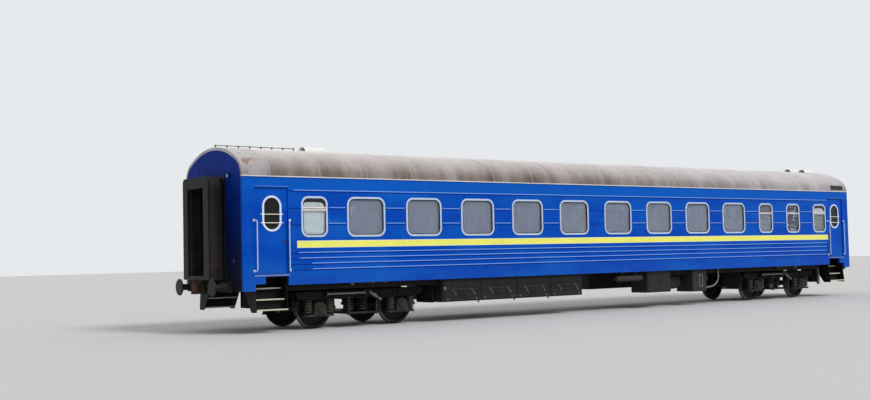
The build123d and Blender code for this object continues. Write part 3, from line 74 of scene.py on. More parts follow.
def add_node(tree, kind, links=(), **settings):
    """A node with its settings, each of its inputs linked to a socket or set to a value."""
    node = tree.nodes.new(kind)
    for name, value in settings.items():
        setattr(node, name, value)
    for name, value in dict(links).items():
        if isinstance(value, bpy.types.NodeSocket):
            tree.links.new(value, node.inputs[name])
        else:
            node.inputs[name].default_value = value
    return node


def math_of(tree, operation, first, second=0.0):
    """The result of one sum on two values."""
    return add_node(tree, "ShaderNodeMath", {0: first, 1: second}, operation=operation).outputs[0]


bpy.ops.mesh.primitive_plane_add(size=floor_size, location=(0, 0, 0))
studio_floor = bpy.context.object
studio_floor.name = "studio_floor"
floor_finish = bpy.data.materials.new("studio_floor")
floor_finish.use_nodes = True
floor_shader = floor_finish.node_tree.nodes["Principled BSDF"]
floor_shader.inputs["Base Color"].default_value = floor_tone
floor_shader.inputs["Roughness"].default_value = floor_rough
studio_floor.data.materials.append(floor_finish)
bpy.ops.object.light_add(type="SUN", rotation=sun_turn)
bpy.context.object.data.energy = sun_strength
bpy.context.object.data.angle = sun_spread
bpy.context.scene.view_settings.view_transform = "Standard"
surround = bpy.data.worlds.new("surround")
surround.use_nodes = True
bpy.context.scene.world = surround
sky = surround.node_tree
sky.nodes.clear()
ray = add_node(sky, "ShaderNodeLightPath").outputs
seen = math_of(sky, "MAXIMUM", ray["Is Camera Ray"], ray["Is Glossy Ray"])
seen = math_of(sky, "MAXIMUM", seen, ray["Is Transmission Ray"])
plain_sky = add_node(sky, "ShaderNodeBackground", {"Color": (1, 1, 1, 1), "Strength": fill_strength})
shown_sky = add_node(sky, "ShaderNodeBackground", {"Color": sky_tone, "Strength": 1.0})
either = add_node(sky, "ShaderNodeMixShader", {0: seen, 1: plain_sky.outputs[0], 2: shown_sky.outputs[0]})
add_node(sky, "ShaderNodeOutputWorld", {"Surface": either.outputs[0]})

# Side walls: panels of welded steel sheet with pressed ribs, sprayed cobalt blue with a yellow band that is
# edged in cream. Rain has drawn faint streaks down the sheets, and ballast dust clings to the skirt.
rail = 0.028
side_face = 1.53
outer_skin = side_face - 0.003
inner_skin = 1.40
beyond = 9.0
body_blue = "#0045B2"
sunned_blue = "#0C62C4"
painted_highlight_blue = "#8AB4FB"
rib_painted_shade = "#002A80"
reveal_painted_shade = "#17181B"
paint_gloss = 1.13
band_yellow = "#EFED70"
band_edge = "#F2F3C8"
road_dust = "#8D8274"
band_front = -10.37
band_rear = 10.59
band_low = 1.981
band_high = 2.120
edge_width = 0.014
long_ribs = (3.291, 1.820, 1.690, 1.564, 1.431)
short_ribs = (2.884, 2.510)
rib_half = 0.019
rib_face = side_face + 0.0012
ribs_end = (10.02, 10.23)
low_ribs = (rail + 1.43, rail + 1.65)
window_band = (rail + 2.15, rail + 3.20)
bleached_from = rail + 3.31
streak_width = 0.09


def tint(code):
    """The linear colour of a #RRGGBB code."""
    parts = [int(code[i:i + 2], 16) / 255 for i in (1, 3, 5)]
    return tuple(c / 12.92 if c < 0.04045 else ((c + 0.055) / 1.055) ** 2.4 for c in parts) + (1,)


def effect(name, inputs, outputs):
    """An empty shader effect: its tree, the named sockets that it gets and those that it gives."""
    tree = bpy.data.node_groups.new(name, "ShaderNodeTree")
    for label, kind in inputs:
        tree.interface.new_socket(label, in_out="INPUT", socket_type="NodeSocket" + kind)
    for label, kind in outputs:
        tree.interface.new_socket(label, in_out="OUTPUT", socket_type="NodeSocket" + kind)
    return tree, tree.nodes.new("NodeGroupInput").outputs, tree.nodes.new("NodeGroupOutput").inputs


def place(tree, group, links):
    """What an effect gives for its inputs."""
    return add_node(tree, "ShaderNodeGroup", links, node_tree=group).outputs


def mix(tree, factor, first, second):
    """Two colours mixed by a factor."""
    return add_node(tree, "ShaderNodeMix", {0: factor, 6: first, 7: second}, data_type="RGBA").outputs[2]


def product(tree, *values):
    """Several values multiplied."""
    found = values[0]
    for value in values[1:]:
        found = math_of(tree, "MULTIPLY", found, value)
    return found


def largest(tree, *values):
    """The largest of several values."""
    found = values[0]
    for value in values[1:]:
        found = math_of(tree, "MAXIMUM", found, value)
    return found


def reach_of(tree, value):
    """A distance without its sign."""
    return math_of(tree, "ABSOLUTE", value)


def over(tree, value, limit):
    """1 where a value is over a limit."""
    return math_of(tree, "GREATER_THAN", value, limit)


def scaled(tree, value, low, high, start, stop):
    """A value between two limits brought to the range from start to stop."""
    return add_node(tree, "ShaderNodeMapRange", {0: value, 1: low, 2: high, 3: start, 4: stop}).outputs[0]


def between(tree, value, low, high, soft=0.002):
    """1 where a value lies between two limits, with a narrow soft edge."""
    rise = scaled(tree, value, low - soft, low + soft, 0.0, 1.0)
    fall = scaled(tree, value, high - soft, high + soft, 1.0, 0.0)
    return product(tree, rise, fall)


def axes_of(tree, vector):
    """The X, Y and Z of a vector."""
    return add_node(tree, "ShaderNodeSeparateXYZ", {0: vector}).outputs


def noise(tree, point, size, detail, roughness=0.5):
    """An uneven value over the surface, finer with a larger size."""
    settings = {"Vector": point, "Scale": size, "Detail": detail, "Roughness": roughness}
    return add_node(tree, "ShaderNodeTexNoise", settings).outputs["Fac"]


def stretch(tree, point, scale):
    """A point with each of its axes scaled."""
    return add_node(tree, "ShaderNodeMapping", {0: point, 3: scale}).outputs[0]


def dent(tree, shader, height, strength, depth):
    """Small rises and hollows in a surface."""
    bump = add_node(tree, "ShaderNodeBump", {"Height": height, "Strength": strength, "Distance": depth})
    tree.links.new(bump.outputs[0], shader.inputs["Normal"])


# Uneven tone: a paint or metal that is a little lighter and darker from place to place
tone_effect, get, give = effect(
    "uneven tone",
    [("Colour", "Color"), ("Place", "Vector"), ("Size", "Float"), ("Depth", "Float")],
    [("Colour", "Color")],
)
darker = math_of(tone_effect, "SUBTRACT", 1.0, get["Depth"])
lighter = math_of(tone_effect, "ADD", 1.0, get["Depth"])
patches = noise(tone_effect, get["Place"], get["Size"], 5.0, 0.6)
shade = scaled(tone_effect, patches, 0.3, 0.7, darker, lighter)
toned = add_node(tone_effect, "ShaderNodeHueSaturation", {"Color": get["Colour"], "Value": shade})
tone_effect.links.new(toned.outputs[0], give["Colour"])

# Road dust: thickest low down and on faces that look up, broken by noise
dust_effect, get, give = effect(
    "road dust",
    [
        ("Colour", "Color"), ("Place", "Vector"), ("Facing Up", "Float"), ("Dust", "Color"),
        ("Low", "Float"), ("High", "Float"), ("Amount", "Float"),
    ],
    [("Colour", "Color"), ("Mask", "Float")],
)
fade = scaled(dust_effect, axes_of(dust_effect, get["Place"])["Z"], get["Low"], get["High"], 1.0, 0.0)
ledge = product(dust_effect, largest(dust_effect, get["Facing Up"], 0.0), 0.8)
cloud = scaled(dust_effect, noise(dust_effect, get["Place"], 5.5, 7.0, 0.68), 0.32, 0.62, 0.25, 1.0)
cover = product(dust_effect, largest(dust_effect, fade, ledge), cloud, get["Amount"])
cover = math_of(dust_effect, "MINIMUM", cover, 1.0)
dust_effect.links.new(mix(dust_effect, cover, get["Colour"], get["Dust"]), give["Colour"])
dust_effect.links.new(cover, give["Mask"])

# Rain streaks: long thin runs down an upright face
streak_effect, get, give = effect(
    "rain streaks",
    [("Colour", "Color"), ("Place", "Vector"), ("Streak", "Color"), ("Width", "Float"), ("Amount", "Float")],
    [("Colour", "Color"), ("Mask", "Float")],
)
thin = math_of(streak_effect, "DIVIDE", 1.0, get["Width"])
drawn_out = add_node(streak_effect, "ShaderNodeCombineXYZ", {"X": thin, "Y": thin, "Z": 0.35}).outputs[0]
runs = add_node(streak_effect, "ShaderNodeVectorMath", {0: get["Place"], 1: drawn_out}, operation="MULTIPLY")
runs = noise(streak_effect, runs.outputs[0], 1.0, 5.0, 0.6)
runs = scaled(streak_effect, runs, 0.50, 0.72, 0.0, get["Amount"])
streak_effect.links.new(mix(streak_effect, runs, get["Colour"], get["Streak"]), give["Colour"])
streak_effect.links.new(runs, give["Mask"])

# Rust spots: brown blooms with paler rims, from specks to patches
rust_effect, get, give = effect(
    "rust spots",
    [("Colour", "Color"), ("Place", "Vector"), ("Size", "Float"), ("Amount", "Float")],
    [("Colour", "Color"), ("Mask", "Float")],
)
edge = math_of(rust_effect, "SUBTRACT", 0.80, product(rust_effect, get["Amount"], 0.5))
rim = math_of(rust_effect, "ADD", edge, 0.06)
bloom = scaled(rust_effect, noise(rust_effect, get["Place"], get["Size"], 9.0, 0.72), edge, rim, 0.0, 1.0)
mottle = noise(rust_effect, get["Place"], 28.0, 6.0)
rust_tone = mix(rust_effect, mottle, tint("#4A2A18"), tint("#9A5A30"))
rust_effect.links.new(mix(rust_effect, bloom, get["Colour"], rust_tone), give["Colour"])
rust_effect.links.new(bloom, give["Mask"])


def surface(name, roughness, metallic=0.0, gloss=1.25):
    """A new material: its tree, its shader, the point on the object and the way that the face looks."""
    material = bpy.data.materials.new(name)
    material.use_nodes = True
    tree = material.node_tree
    shader = tree.nodes["Principled BSDF"]
    shader.inputs["Roughness"].default_value = roughness
    shader.inputs["Metallic"].default_value = metallic
    shader.inputs["IOR"].default_value = gloss
    point = add_node(tree, "ShaderNodeTexCoord").outputs["Object"]
    facing = axes_of(tree, add_node(tree, "ShaderNodeNewGeometry").outputs["Normal"])
    return material, tree, shader, point, facing


def weather(tree, shader, point, facing, colour, tone=0.08, tone_size=1.2, streak=0.0, streak_tone=road_dust,
            rust=0.0, rust_size=3.0, dust=0.0, dust_tone=road_dust, low=0.3, high=1.6, worn_rough=0.9,
            grain=0.0, grain_size=60.0):
    """Brings a colour to the shader through tone, streaks, rust and dust, which dull it, and adds grain."""
    shown = place(tree, tone_effect, {"Colour": colour, "Place": point, "Size": tone_size, "Depth": tone})[0]
    masks = []
    if streak:
        shown, mask = place(tree, streak_effect, {
            "Colour": shown, "Place": point, "Streak": tint(streak_tone),
            "Width": streak_width, "Amount": streak,
        })
        masks.append(mask)
    if rust:
        shown, mask = place(tree, rust_effect, {
            "Colour": shown, "Place": point, "Size": rust_size, "Amount": rust,
        })
        masks.append(mask)
    if dust:
        shown, mask = place(tree, dust_effect, {
            "Colour": shown, "Place": point, "Facing Up": facing["Z"], "Dust": tint(dust_tone),
            "Low": low, "High": high, "Amount": dust,
        })
        masks.append(mask)
    tree.links.new(shown, shader.inputs["Base Color"])
    if masks:
        rough = shader.inputs["Roughness"].default_value
        dulled = scaled(tree, largest(tree, *masks), 0.0, 1.0, rough, worn_rough)
        tree.links.new(dulled, shader.inputs["Roughness"])
    if grain:
        dent(tree, shader, noise(tree, point, grain_size, 4.0), 0.6, grain)


def coat(material, *names):
    """Puts one finish on CAD nodes."""
    for name in names:
        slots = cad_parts[name].material_slots
        if slots:
            for slot in slots:
                slot.material = material
        else:
            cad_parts[name].data.materials.append(material)


def any_level(tree, height, levels, low, high):
    """1 where a height lies in the same band about any of the levels above the rail."""
    bands = [between(tree, height, rail + level + low, rail + level + high, 0.003) for level in levels]
    return largest(tree, *bands)


def coach_blue(tree, point, spot):
    """The body's blue, with broad patches that the sun has bleached towards green."""
    bleach = scaled(tree, noise(tree, stretch(tree, point, (0.5, 1.0, 1.6)), 1.1, 4.0), 0.42, 0.66, 0.0, 0.55)
    top = product(tree, between(tree, spot["Z"], bleached_from, beyond, 0.02), 0.6)
    return mix(tree, largest(tree, bleach, top), tint(body_blue), tint(sunned_blue))


def wavy(tree, shader, point, depth):
    """The slight unevenness of thin welded sheet."""
    dent(tree, shader, noise(tree, point, 1.6, 2.0), 0.5, depth)


blue_wear = {
    "tone": 0.05, "tone_size": 0.9, "streak": 0.08, "streak_tone": "#4A78B0", "dust_tone": "#4E6488",
    "rust_size": 5.0, "worn_rough": 0.7,
}
wall_paint, tree, shader, point, facing = surface("wall_paint", 0.38, gloss=paint_gloss)
spot = axes_of(tree, point)
side = reach_of(tree, spot["Y"])
colour = coach_blue(tree, point, spot)
from_middle = reach_of(tree, spot["X"])
plain_end = product(tree, between(tree, from_middle, *ribs_end), between(tree, spot["Z"], *low_ribs))
plain_end = product(tree, plain_end, over(tree, product(tree, spot["X"], spot["Y"]), 0.0))
proud = product(tree, over(tree, side, rib_face), math_of(tree, "SUBTRACT", 1.0, plain_end))
ribs = long_ribs + short_ribs
# The upper half of each rib is painted pale as a painted highlight, and a band below each rib is painted dark
# as painted shade.
rib_highlight_band = any_level(tree, spot["Z"], ribs, 0.0, rib_half + 0.001)
rib_shade_band = any_level(tree, spot["Z"], ribs, -rib_half - 0.014, -0.004)
colour = mix(tree, product(tree, rib_highlight_band, proud, 0.85), colour, tint(painted_highlight_blue))
colour = mix(tree, product(tree, rib_shade_band, 0.85), colour, tint(rib_painted_shade))
outside = over(tree, side, outer_skin)
for grow, code in ((edge_width, band_edge), (0.0, band_yellow)):
    along = between(tree, spot["X"], band_front - grow, band_rear + grow)
    up = between(tree, spot["Z"], band_low - grow, band_high + grow)
    colour = mix(tree, product(tree, along, up, outside), colour, tint(code))
# The window reveals inside the wall are painted near black as painted shade.
reveal = product(tree, between(tree, spot["Z"], *window_band), between(tree, side, inner_skin, outer_skin))
colour = mix(tree, reveal, colour, tint(reveal_painted_shade))
weather(tree, shader, point, facing, colour, dust=0.14, low=rail + 1.00, high=rail + 1.55, rust=0.10,
        **blue_wear)
wavy(tree, shader, point, 0.012)
coat(wall_paint, "side_wall_left", "side_wall_right")

# Entrance bays: the door posts, lintels and aprons at the four corners, in the same blue as the side sheets.
# A pressed drip strip over each doorway carries a painted highlight, and its sill is painted pale grey.
floor_level = rail + 1.330
doorway = (10.60, 11.50)
sill_span = (floor_level - 0.030, floor_level + 0.004)
strip_span = (rail + 3.372, rail + 3.386)
sill_grey = "#9AAFD0"
bay_paint, tree, shader, point, facing = surface("bay_paint", 0.38, gloss=paint_gloss)
spot = axes_of(tree, point)
colour = coach_blue(tree, point, spot)
at_door = between(tree, reach_of(tree, spot["X"]), *doorway)
proud = over(tree, reach_of(tree, spot["Y"]), side_face + 0.001)
sill = product(tree, between(tree, spot["Z"], *sill_span), at_door)
strip = product(tree, between(tree, spot["Z"], *strip_span), at_door)
colour = mix(tree, product(tree, sill, 0.55), colour, tint(sill_grey))
colour = mix(tree, product(tree, strip, proud, 0.6), colour, tint(painted_highlight_blue))
weather(tree, shader, point, facing, colour, dust=0.16, low=rail + 0.95, high=rail + 1.50, rust=0.10,
        **blue_wear)
wavy(tree, shader, point, 0.010)
coat(bay_paint, "entrance_bays")

# Roof: sheet steel in pale grey paint, browner low down. Along the crown a painted highlight makes it nearly
# white. Brown grime lies along the eaves above a paler drip rail, and the front end has patches of rust.
# The louvre over the rear is painted dark, as painted shade in its openings.
eaves_level = rail + 3.60
crown_level = rail + 4.38
drip_top = rail + 3.624
grime_levels = (rail + 3.62, rail + 3.95)
louvre_x = (10.865, 11.585)
louvre_z = (rail + 3.665, rail + 3.820)
seam_pitch = 1.35
seam_start = 30.0
roof_grime_and_highlight_tones = (
    (0.0, "#61554C"), (0.20, "#6B6059"), (0.52, "#A09794"),
    (0.84, "#CBC6C5"), (0.95, "#E4E1E1"), (0.99, "#F8F7F7"),
)


def ramp(tree, value, stops):
    """A colour that changes with a value through a list of (value, colour code) stops."""
    node = add_node(tree, "ShaderNodeValToRGB", {0: value})
    line = node.color_ramp.elements
    while len(line) < len(stops):
        line.new(0.5)
    for element, (spot, code) in zip(line, stops):
        element.position = spot
        element.color = tint(code)
    return node.outputs[0]


roof_paint, tree, shader, point, facing = surface("roof_paint", 0.7)
spot = axes_of(tree, point)
rise = scaled(tree, spot["Z"], eaves_level, crown_level, 0.0, 1.0)
colour = ramp(tree, rise, roof_grime_and_highlight_tones)
rearwards = scaled(tree, spot["X"], -2.0, 11.0, 0.0, 0.55)
colour = mix(tree, rearwards, colour, tint("#CCCAD4"))
bands = noise(tree, stretch(tree, point, (1.0, 0.12, 0.12)), 1.5, 6.0, 0.6)
colour = mix(tree, scaled(tree, bands, 0.38, 0.62, 0.0, 0.35), colour, tint("#CFC9C7"))
eaves = scaled(tree, spot["Z"], *grime_levels, 0.8, 0.0)
grime = scaled(tree, noise(tree, point, 2.2, 8.0, 0.65), 0.40, 0.64, 0.0, 0.6)
colour = mix(tree, product(tree, eaves, grime), colour, tint("#5E5148"))
seam = math_of(tree, "DIVIDE", math_of(tree, "ADD", spot["X"], seam_start), seam_pitch)
seam = between(tree, math_of(tree, "FRACT", seam), 0.0, 0.035, 0.01)
colour = mix(tree, product(tree, seam, 0.14), colour, tint("#DAD6D4"))
front_end = scaled(tree, spot["X"], -11.16, -11.04, 1.0, 0.0)
peel = place(tree, rust_effect, {"Colour": tint("#B4B1B6"), "Place": point, "Size": 3.2, "Amount": 0.55})[0]
colour = mix(tree, product(tree, front_end, 0.55), colour, peel)
colour = mix(tree, between(tree, spot["Z"], 0.0, drip_top), colour, tint("#DEDBD9"))
# The louvre is painted dark, as painted shade in its openings.
louvre = product(tree, between(tree, spot["Z"], *louvre_z), between(tree, spot["X"], *louvre_x))
colour = mix(tree, product(tree, louvre, 0.9), colour, tint("#2E3130"))
weather(tree, shader, point, facing, colour, tone=0.10, tone_size=0.8, streak=0.28, streak_tone="#7A6C62",
        rust=0.20, rust_size=2.4, grain=0.002, grain_size=14.0)
coat(roof_paint, "roof")

# Roof hoods and aerial: ventilator covers pressed from sheet in off-white paint, open at both mouths, with
# their end faces painted dark as painted shade, and a steel rod carried on porcelain discs along the front of
# the crown.
hood_white = "#EEF0EC"
mouth_shade = "#3A3B3A"


def painted(name, code, roughness, metallic=0.0, **wear):
    """A finish of one colour, with its wear."""
    material, tree, shader, point, facing = surface(name, roughness, metallic)
    weather(tree, shader, point, facing, tint(code), **wear)
    return material


hood_paint, tree, shader, point, facing = surface("hood_paint", 0.5)
mouth = over(tree, reach_of(tree, facing["X"]), 0.8)
weather(tree, shader, point, facing, mix(tree, mouth, tint(hood_white), tint(mouth_shade)), tone=0.06,
        streak=0.2, streak_tone="#9A8F84", rust=0.12, rust_size=6.0)
coat(hood_paint, "roof_hoods")
aerial_metal = painted("aerial_metal", "#4E4C4A", 0.5, 0.5, tone=0.12, tone_size=8.0,
                       rust=0.3, rust_size=12.0)
coat(aerial_metal, "roof_aerial")

# End walls and end doors: the same blue, painted much darker as painted shade and darkest towards the bottom,
# with dark streaks and dust that the slipstream drives against the ends, and rust where the paint has gone
# about the coupling.
ends = ("front", "rear")
end_levels = (rail + 1.0, rail + 3.9)
end_shade_tones = ((0.0, "#0A101E"), (0.35, "#04164A"), (0.75, "#002272"), (1.0, "#002C8C"))
end_paint, tree, shader, point, facing = surface("end_paint", 0.5, gloss=paint_gloss)
spot = axes_of(tree, point)
colour = ramp(tree, scaled(tree, spot["Z"], *end_levels, 0.0, 1.0), end_shade_tones)
weather(tree, shader, point, facing, colour, tone=0.14, tone_size=1.5, streak=0.35, streak_tone="#141C34",
        dust=0.35, dust_tone="#332C28", low=rail + 0.95, high=rail + 2.2, rust=0.24, rust_size=4.0)
for end in ends:
    coat(end_paint, f"end_wall_{end}", f"end_door_{end}")

# Tail lamps: pressed glass lenses in the round housings on the end walls, red below and clear above. Each is
# a shallow ribbed dome, set on the face of its housing.
lamp_face = 11.8 + 0.048
lens_radius = 0.045
lens_bulge = 0.010
low_lamps = ((-1.18, 1.693), (1.18, 1.693))
high_lamps = ((0.88, 3.673),)


def deselect():
    """Leaves nothing selected."""
    bpy.ops.object.select_all(action="DESELECT")


def pick(*pieces):
    """Selects some pieces alone, the first of them active."""
    deselect()
    for piece in pieces:
        piece.select_set(True)
    bpy.context.view_layer.objects.active = pieces[0]


def named(name):
    """The piece just made, under its own name."""
    piece = bpy.context.object
    piece.name = name
    piece.data.name = name
    return piece


def merge(pieces, name):
    """Several pieces joined as one, under one name."""
    pick(*pieces)
    if len(pieces) > 1:
        bpy.ops.object.join()
    return named(name)


def apply_all(piece):
    """Applies every modifier and the place of a piece."""
    pick(piece)
    for modifier in list(piece.modifiers):
        bpy.ops.object.modifier_apply(modifier=modifier.name)
    bpy.ops.object.transform_apply(location=True, rotation=True, scale=True)


def repeat(piece, spots, name):
    """Copies of a piece at each spot (x, y, z, turn about the vertical), joined as one piece."""
    copies = []
    for x, y, z, turn in spots:
        copy = piece.copy()
        copy.data = piece.data.copy()
        bpy.context.scene.collection.objects.link(copy)
        copy.matrix_world = Matrix.Translation((x, y, z)) @ Matrix.Rotation(turn, 4, "Z")
        copies.append(copy)
    bpy.data.objects.remove(piece)
    whole = merge(copies, name)
    apply_all(whole)
    return whole


def finish(piece, material, body, smooth=40):
    """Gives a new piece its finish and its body."""
    pick(piece)
    bpy.ops.object.shade_smooth_by_angle(angle=math.radians(smooth))
    piece.data.materials.clear()
    piece.data.materials.append(material)
    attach(piece, body)


def lens(name):
    """One lens: a shallow dome with a flat foot, facing the rear."""
    deselect()
    bpy.ops.mesh.primitive_uv_sphere_add(segments=24, ring_count=12, radius=lens_radius)
    dome = named(name)
    bpy.ops.object.mode_set(mode="EDIT")
    bpy.ops.mesh.select_all(action="SELECT")
    bpy.ops.mesh.bisect(plane_co=(0, 0, 0), plane_no=(1, 0, 0), use_fill=True, clear_inner=True)
    bpy.ops.object.mode_set(mode="OBJECT")
    dome.scale.x = lens_bulge / lens_radius
    apply_all(dome)
    return dome


for name, lamps, code in (("tail_lenses", low_lamps, "#8E1512"), ("top_lenses", high_lamps, "#D8D4C8")):
    lens_glass, tree, shader, point, facing = surface(name, 0.12)
    weather(tree, shader, point, facing, tint(code), tone=0.1, tone_size=20.0)
    rings = add_node(tree, "ShaderNodeTexWave", {"Vector": point, "Scale": 18.0},
                     wave_type="BANDS", bands_direction="Z")
    dent(tree, shader, rings.outputs["Fac"], 0.6, 0.002)
    spots = [(end * lamp_face, end * y, z, 0 if end > 0 else math.pi) for end in (1, -1) for y, z in lamps]
    finish(repeat(lens(name), spots, name), lens_glass, "coach")

# Window trims: rings of satin aluminium, pressed and polished, that clamp each pane's rubber seal. The bar
# across each narrow window, below its opening top light, is painted cream.
transom_level = 2.863
transom_half = 0.0235
transom_reach = 0.312
window_level = 2.702
window_height = 0.972
wide_window = 1.110
narrow_window = 0.722
wide_corner = 0.205
narrow_corner = 0.190
window_pitch = 1.7492
wide_places = [-8.4409 + window_pitch * i for i in range(9)]
narrow_places = (-9.9075, 7.1805, 8.6361, 10.1103)
satin = "#BECFE6"
bar_cream = "#D4CCD0"
trim_metal, tree, shader, point, facing = surface("trim_metal", 0.36, 0.2, 1.45)
spot = axes_of(tree, point)
bars = largest(tree, *[between(tree, spot["X"], x - transom_reach, x + transom_reach) for x in narrow_places])
at_bar = between(tree, spot["Z"], transom_level - transom_half, transom_level + transom_half, 0.001)
weather(tree, shader, point, facing, mix(tree, product(tree, bars, at_bar), tint(satin), tint(bar_cream)),
        tone=0.06, tone_size=5.0, streak=0.2, streak_tone="#7F8AA0", grain=0.0004)
coat(trim_metal, "window_trims")

# Window seals: an extruded section of black rubber round each pane, inside its trim ring. It is pressed into
# the gap when the pane is in place.
seal_inset = 0.046
seal_width = 0.020
seal_depth = 0.006


def upright_plate(name, width, height, radius, rim=0.0):
    """A round-cornered plate that faces the left side, or only its rim, about the origin."""
    deselect()
    bpy.ops.mesh.primitive_plane_add(size=1, rotation=(math.radians(90), 0, 0))
    plate = named(name)
    plate.scale = (width, height, 1)
    bpy.ops.object.transform_apply(location=True, rotation=True, scale=True)
    bpy.ops.object.mode_set(mode="EDIT")
    bpy.ops.mesh.select_all(action="SELECT")
    bpy.ops.mesh.bevel(offset=radius, segments=8, affect="VERTICES")
    if rim:
        bpy.ops.mesh.select_all(action="SELECT")
        bpy.ops.mesh.inset(thickness=rim)
        bpy.ops.mesh.delete(type="FACE")
    bpy.ops.object.mode_set(mode="OBJECT")
    return plate


def soften(piece, width, steps=2):
    """Rounds the edges of a piece, once its modifiers are applied."""
    soft = piece.modifiers.new("soft", "BEVEL")
    soft.width = width
    soft.segments = steps


def thicken(piece, depth, edge=0.0):
    """Gives a plate its thickness outwards, with slightly rounded edges."""
    wall = piece.modifiers.new("wall", "SOLIDIFY")
    wall.thickness = depth
    wall.offset = 1
    if edge:
        soften(piece, edge)
    apply_all(piece)
    return piece


seal_rubber = painted("seal_rubber", "#1B1B20", 0.65, tone=0.2, tone_size=6.0, dust=0.2, low=1.0, high=3.4)
for name, width, radius, places in (
    ("wide_seals", wide_window, wide_corner, wide_places),
    ("narrow_seals", narrow_window, narrow_corner, narrow_places),
):
    ring = upright_plate(
        name, width - 2 * seal_inset, window_height - 2 * seal_inset, radius - seal_inset, seal_width,
    )
    thicken(ring, seal_depth, 0.0015)
    spots = [
        (x, side * side_face, window_level, 0 if side < 0 else math.pi) for side in (-1, 1) for x in places
    ]
    finish(repeat(ring, spots, name), seal_rubber, "coach")

# Window panes: flat safety glass, cut round at the corners and bedded in the seals, with a film of dust
# that lies thicker in patches.


def clear_glass(name, code, size, clean_below, cloudy):
    """Clear glass under a film of dust, which makes it rougher from place to place."""
    material, tree, shader, point, facing = surface(name, 0.05, gloss=1.3)
    shader.inputs["Base Color"].default_value = tint(code)
    shader.inputs["Transmission Weight"].default_value = 1.0
    film = scaled(tree, noise(tree, point, size, 6.0), clean_below, 0.7, 0.03, cloudy)
    tree.links.new(film, shader.inputs["Roughness"])
    return material


pane_glass = clear_glass("pane_glass", "#EDF0F2", 2.5, 0.35, 0.16)
coat(pane_glass, "window_glass")

# Blinds: coated grey cloth, drawn right down behind the wide panes. The wash rooms at both ends have frosted
# panes instead, and the two narrow windows before the rear one have a mauve blind and a light curtain.
front_wash_room = (-10.4, -9.4)
rear_wash_room = (9.6, 10.6)
mauve_window = (6.7, 7.7)
lace_window = (8.1, 9.1)
wide_span = (wide_places[0] - 0.8, wide_places[8] + 0.8)
cloth_reach = 0.475
cloth_top = 3.115
lace_tones = ((0.42, "#4C5270"), (0.55, "#666E8A"), (0.62, "#C4CAD8"))
blind_cloth, tree, shader, point, facing = surface("blind_cloth", 0.85)
spot = axes_of(tree, point)
colour = mix(tree, noise(tree, point, 1.3, 3.0), tint("#909AB0"), tint("#A8AABC"))
cell = math_of(tree, "SUBTRACT", spot["X"], wide_places[0] - window_pitch / 2)
cell = math_of(tree, "FRACT", math_of(tree, "DIVIDE", cell, window_pitch))
aside = product(tree, reach_of(tree, math_of(tree, "SUBTRACT", cell, 0.5)), window_pitch)
# Each wide blind is painted darker along both sides and its top, as painted shade from the window's reveal.
blind_edge_shade = largest(
    tree, between(tree, aside, cloth_reach, beyond, 0.03), between(tree, spot["Z"], cloth_top, beyond, 0.02),
)
blind_edge_shade = product(tree, blind_edge_shade, between(tree, spot["X"], *wide_span))
colour = mix(tree, product(tree, blind_edge_shade, 0.55), colour, tint("#3A3F4C"))
colour = mix(tree, between(tree, spot["X"], *front_wash_room), colour, tint("#F0FAFC"))
colour = mix(tree, between(tree, spot["X"], *rear_wash_room), colour, tint("#9AA8A4"))
mauve = product(tree, between(tree, spot["X"], *mauve_window), between(tree, spot["Z"], transom_level, 4.0))
colour = mix(tree, mauve, colour, tint("#857E93"))
lace = ramp(tree, noise(tree, point, 9.0, 2.0), lace_tones)
colour = mix(tree, between(tree, spot["X"], *lace_window), colour, lace)
weather(tree, shader, point, facing, colour, tone=0.04, tone_size=1.4)
folds = {"Vector": point, "Scale": 0.9, "Distortion": 2.0, "Detail": 2.0}
ripple = add_node(tree, "ShaderNodeTexWave", folds, wave_type="BANDS", bands_direction="X")
dent(tree, shader, ripple.outputs["Fac"], 0.35, 0.012)
coat(blind_cloth, "window_blinds")

# Open top vents of the two wash rooms on the left side: a frosted flap tipped inwards from a painted bar just
# above the window's own bar, and round it a dark plate, painted shade that stands for the dim room behind.
wash_windows = (narrow_places[0], narrow_places[3])
gap_width = 0.62
gap_height = 0.235
gap_corner = 0.12
gap_face = -1.4965
gap_foot = transom_level + 0.022
vent_bar_low = 2.898
vent_bar_high = 2.930
vent_bar_depth = 0.009
flap_width = 0.585
flap_height = 0.125
flap_corner = 0.105
flap_face = -1.5075
flap_foot = vent_bar_high - 0.010
flap_shift = -0.018
pane_depth = 0.002
room_shade = painted("room_shade", "#1A1616", 0.9, tone=0.2, tone_size=4.0)
frosted = painted("frosted", "#EEF3F4", 0.5, tone=0.05, tone_size=3.0)


def arched_plate(name, width, height, corner):
    """A plate that is round at its top corners and stands on the origin."""
    plate = upright_plate(name, width, 2 * height, corner)
    bpy.ops.object.mode_set(mode="EDIT")
    bpy.ops.mesh.select_all(action="SELECT")
    bpy.ops.mesh.bisect(plane_co=(0, 0, 0), plane_no=(0, 0, 1), clear_inner=True)
    bpy.ops.object.mode_set(mode="OBJECT")
    return thicken(plate, pane_depth)


def block(name, low, high, edge=0.0):
    """A piece between two corners, about the origin's axes, with its edges rounded."""
    deselect()
    bpy.ops.mesh.primitive_cube_add(size=1, location=[(a + b) / 2 for a, b in zip(low, high)])
    piece = named(name)
    piece.scale = [b - a for a, b in zip(low, high)]
    bpy.ops.object.transform_apply(location=True, rotation=True, scale=True)
    if edge:
        soften(piece, edge)
    apply_all(piece)
    return piece


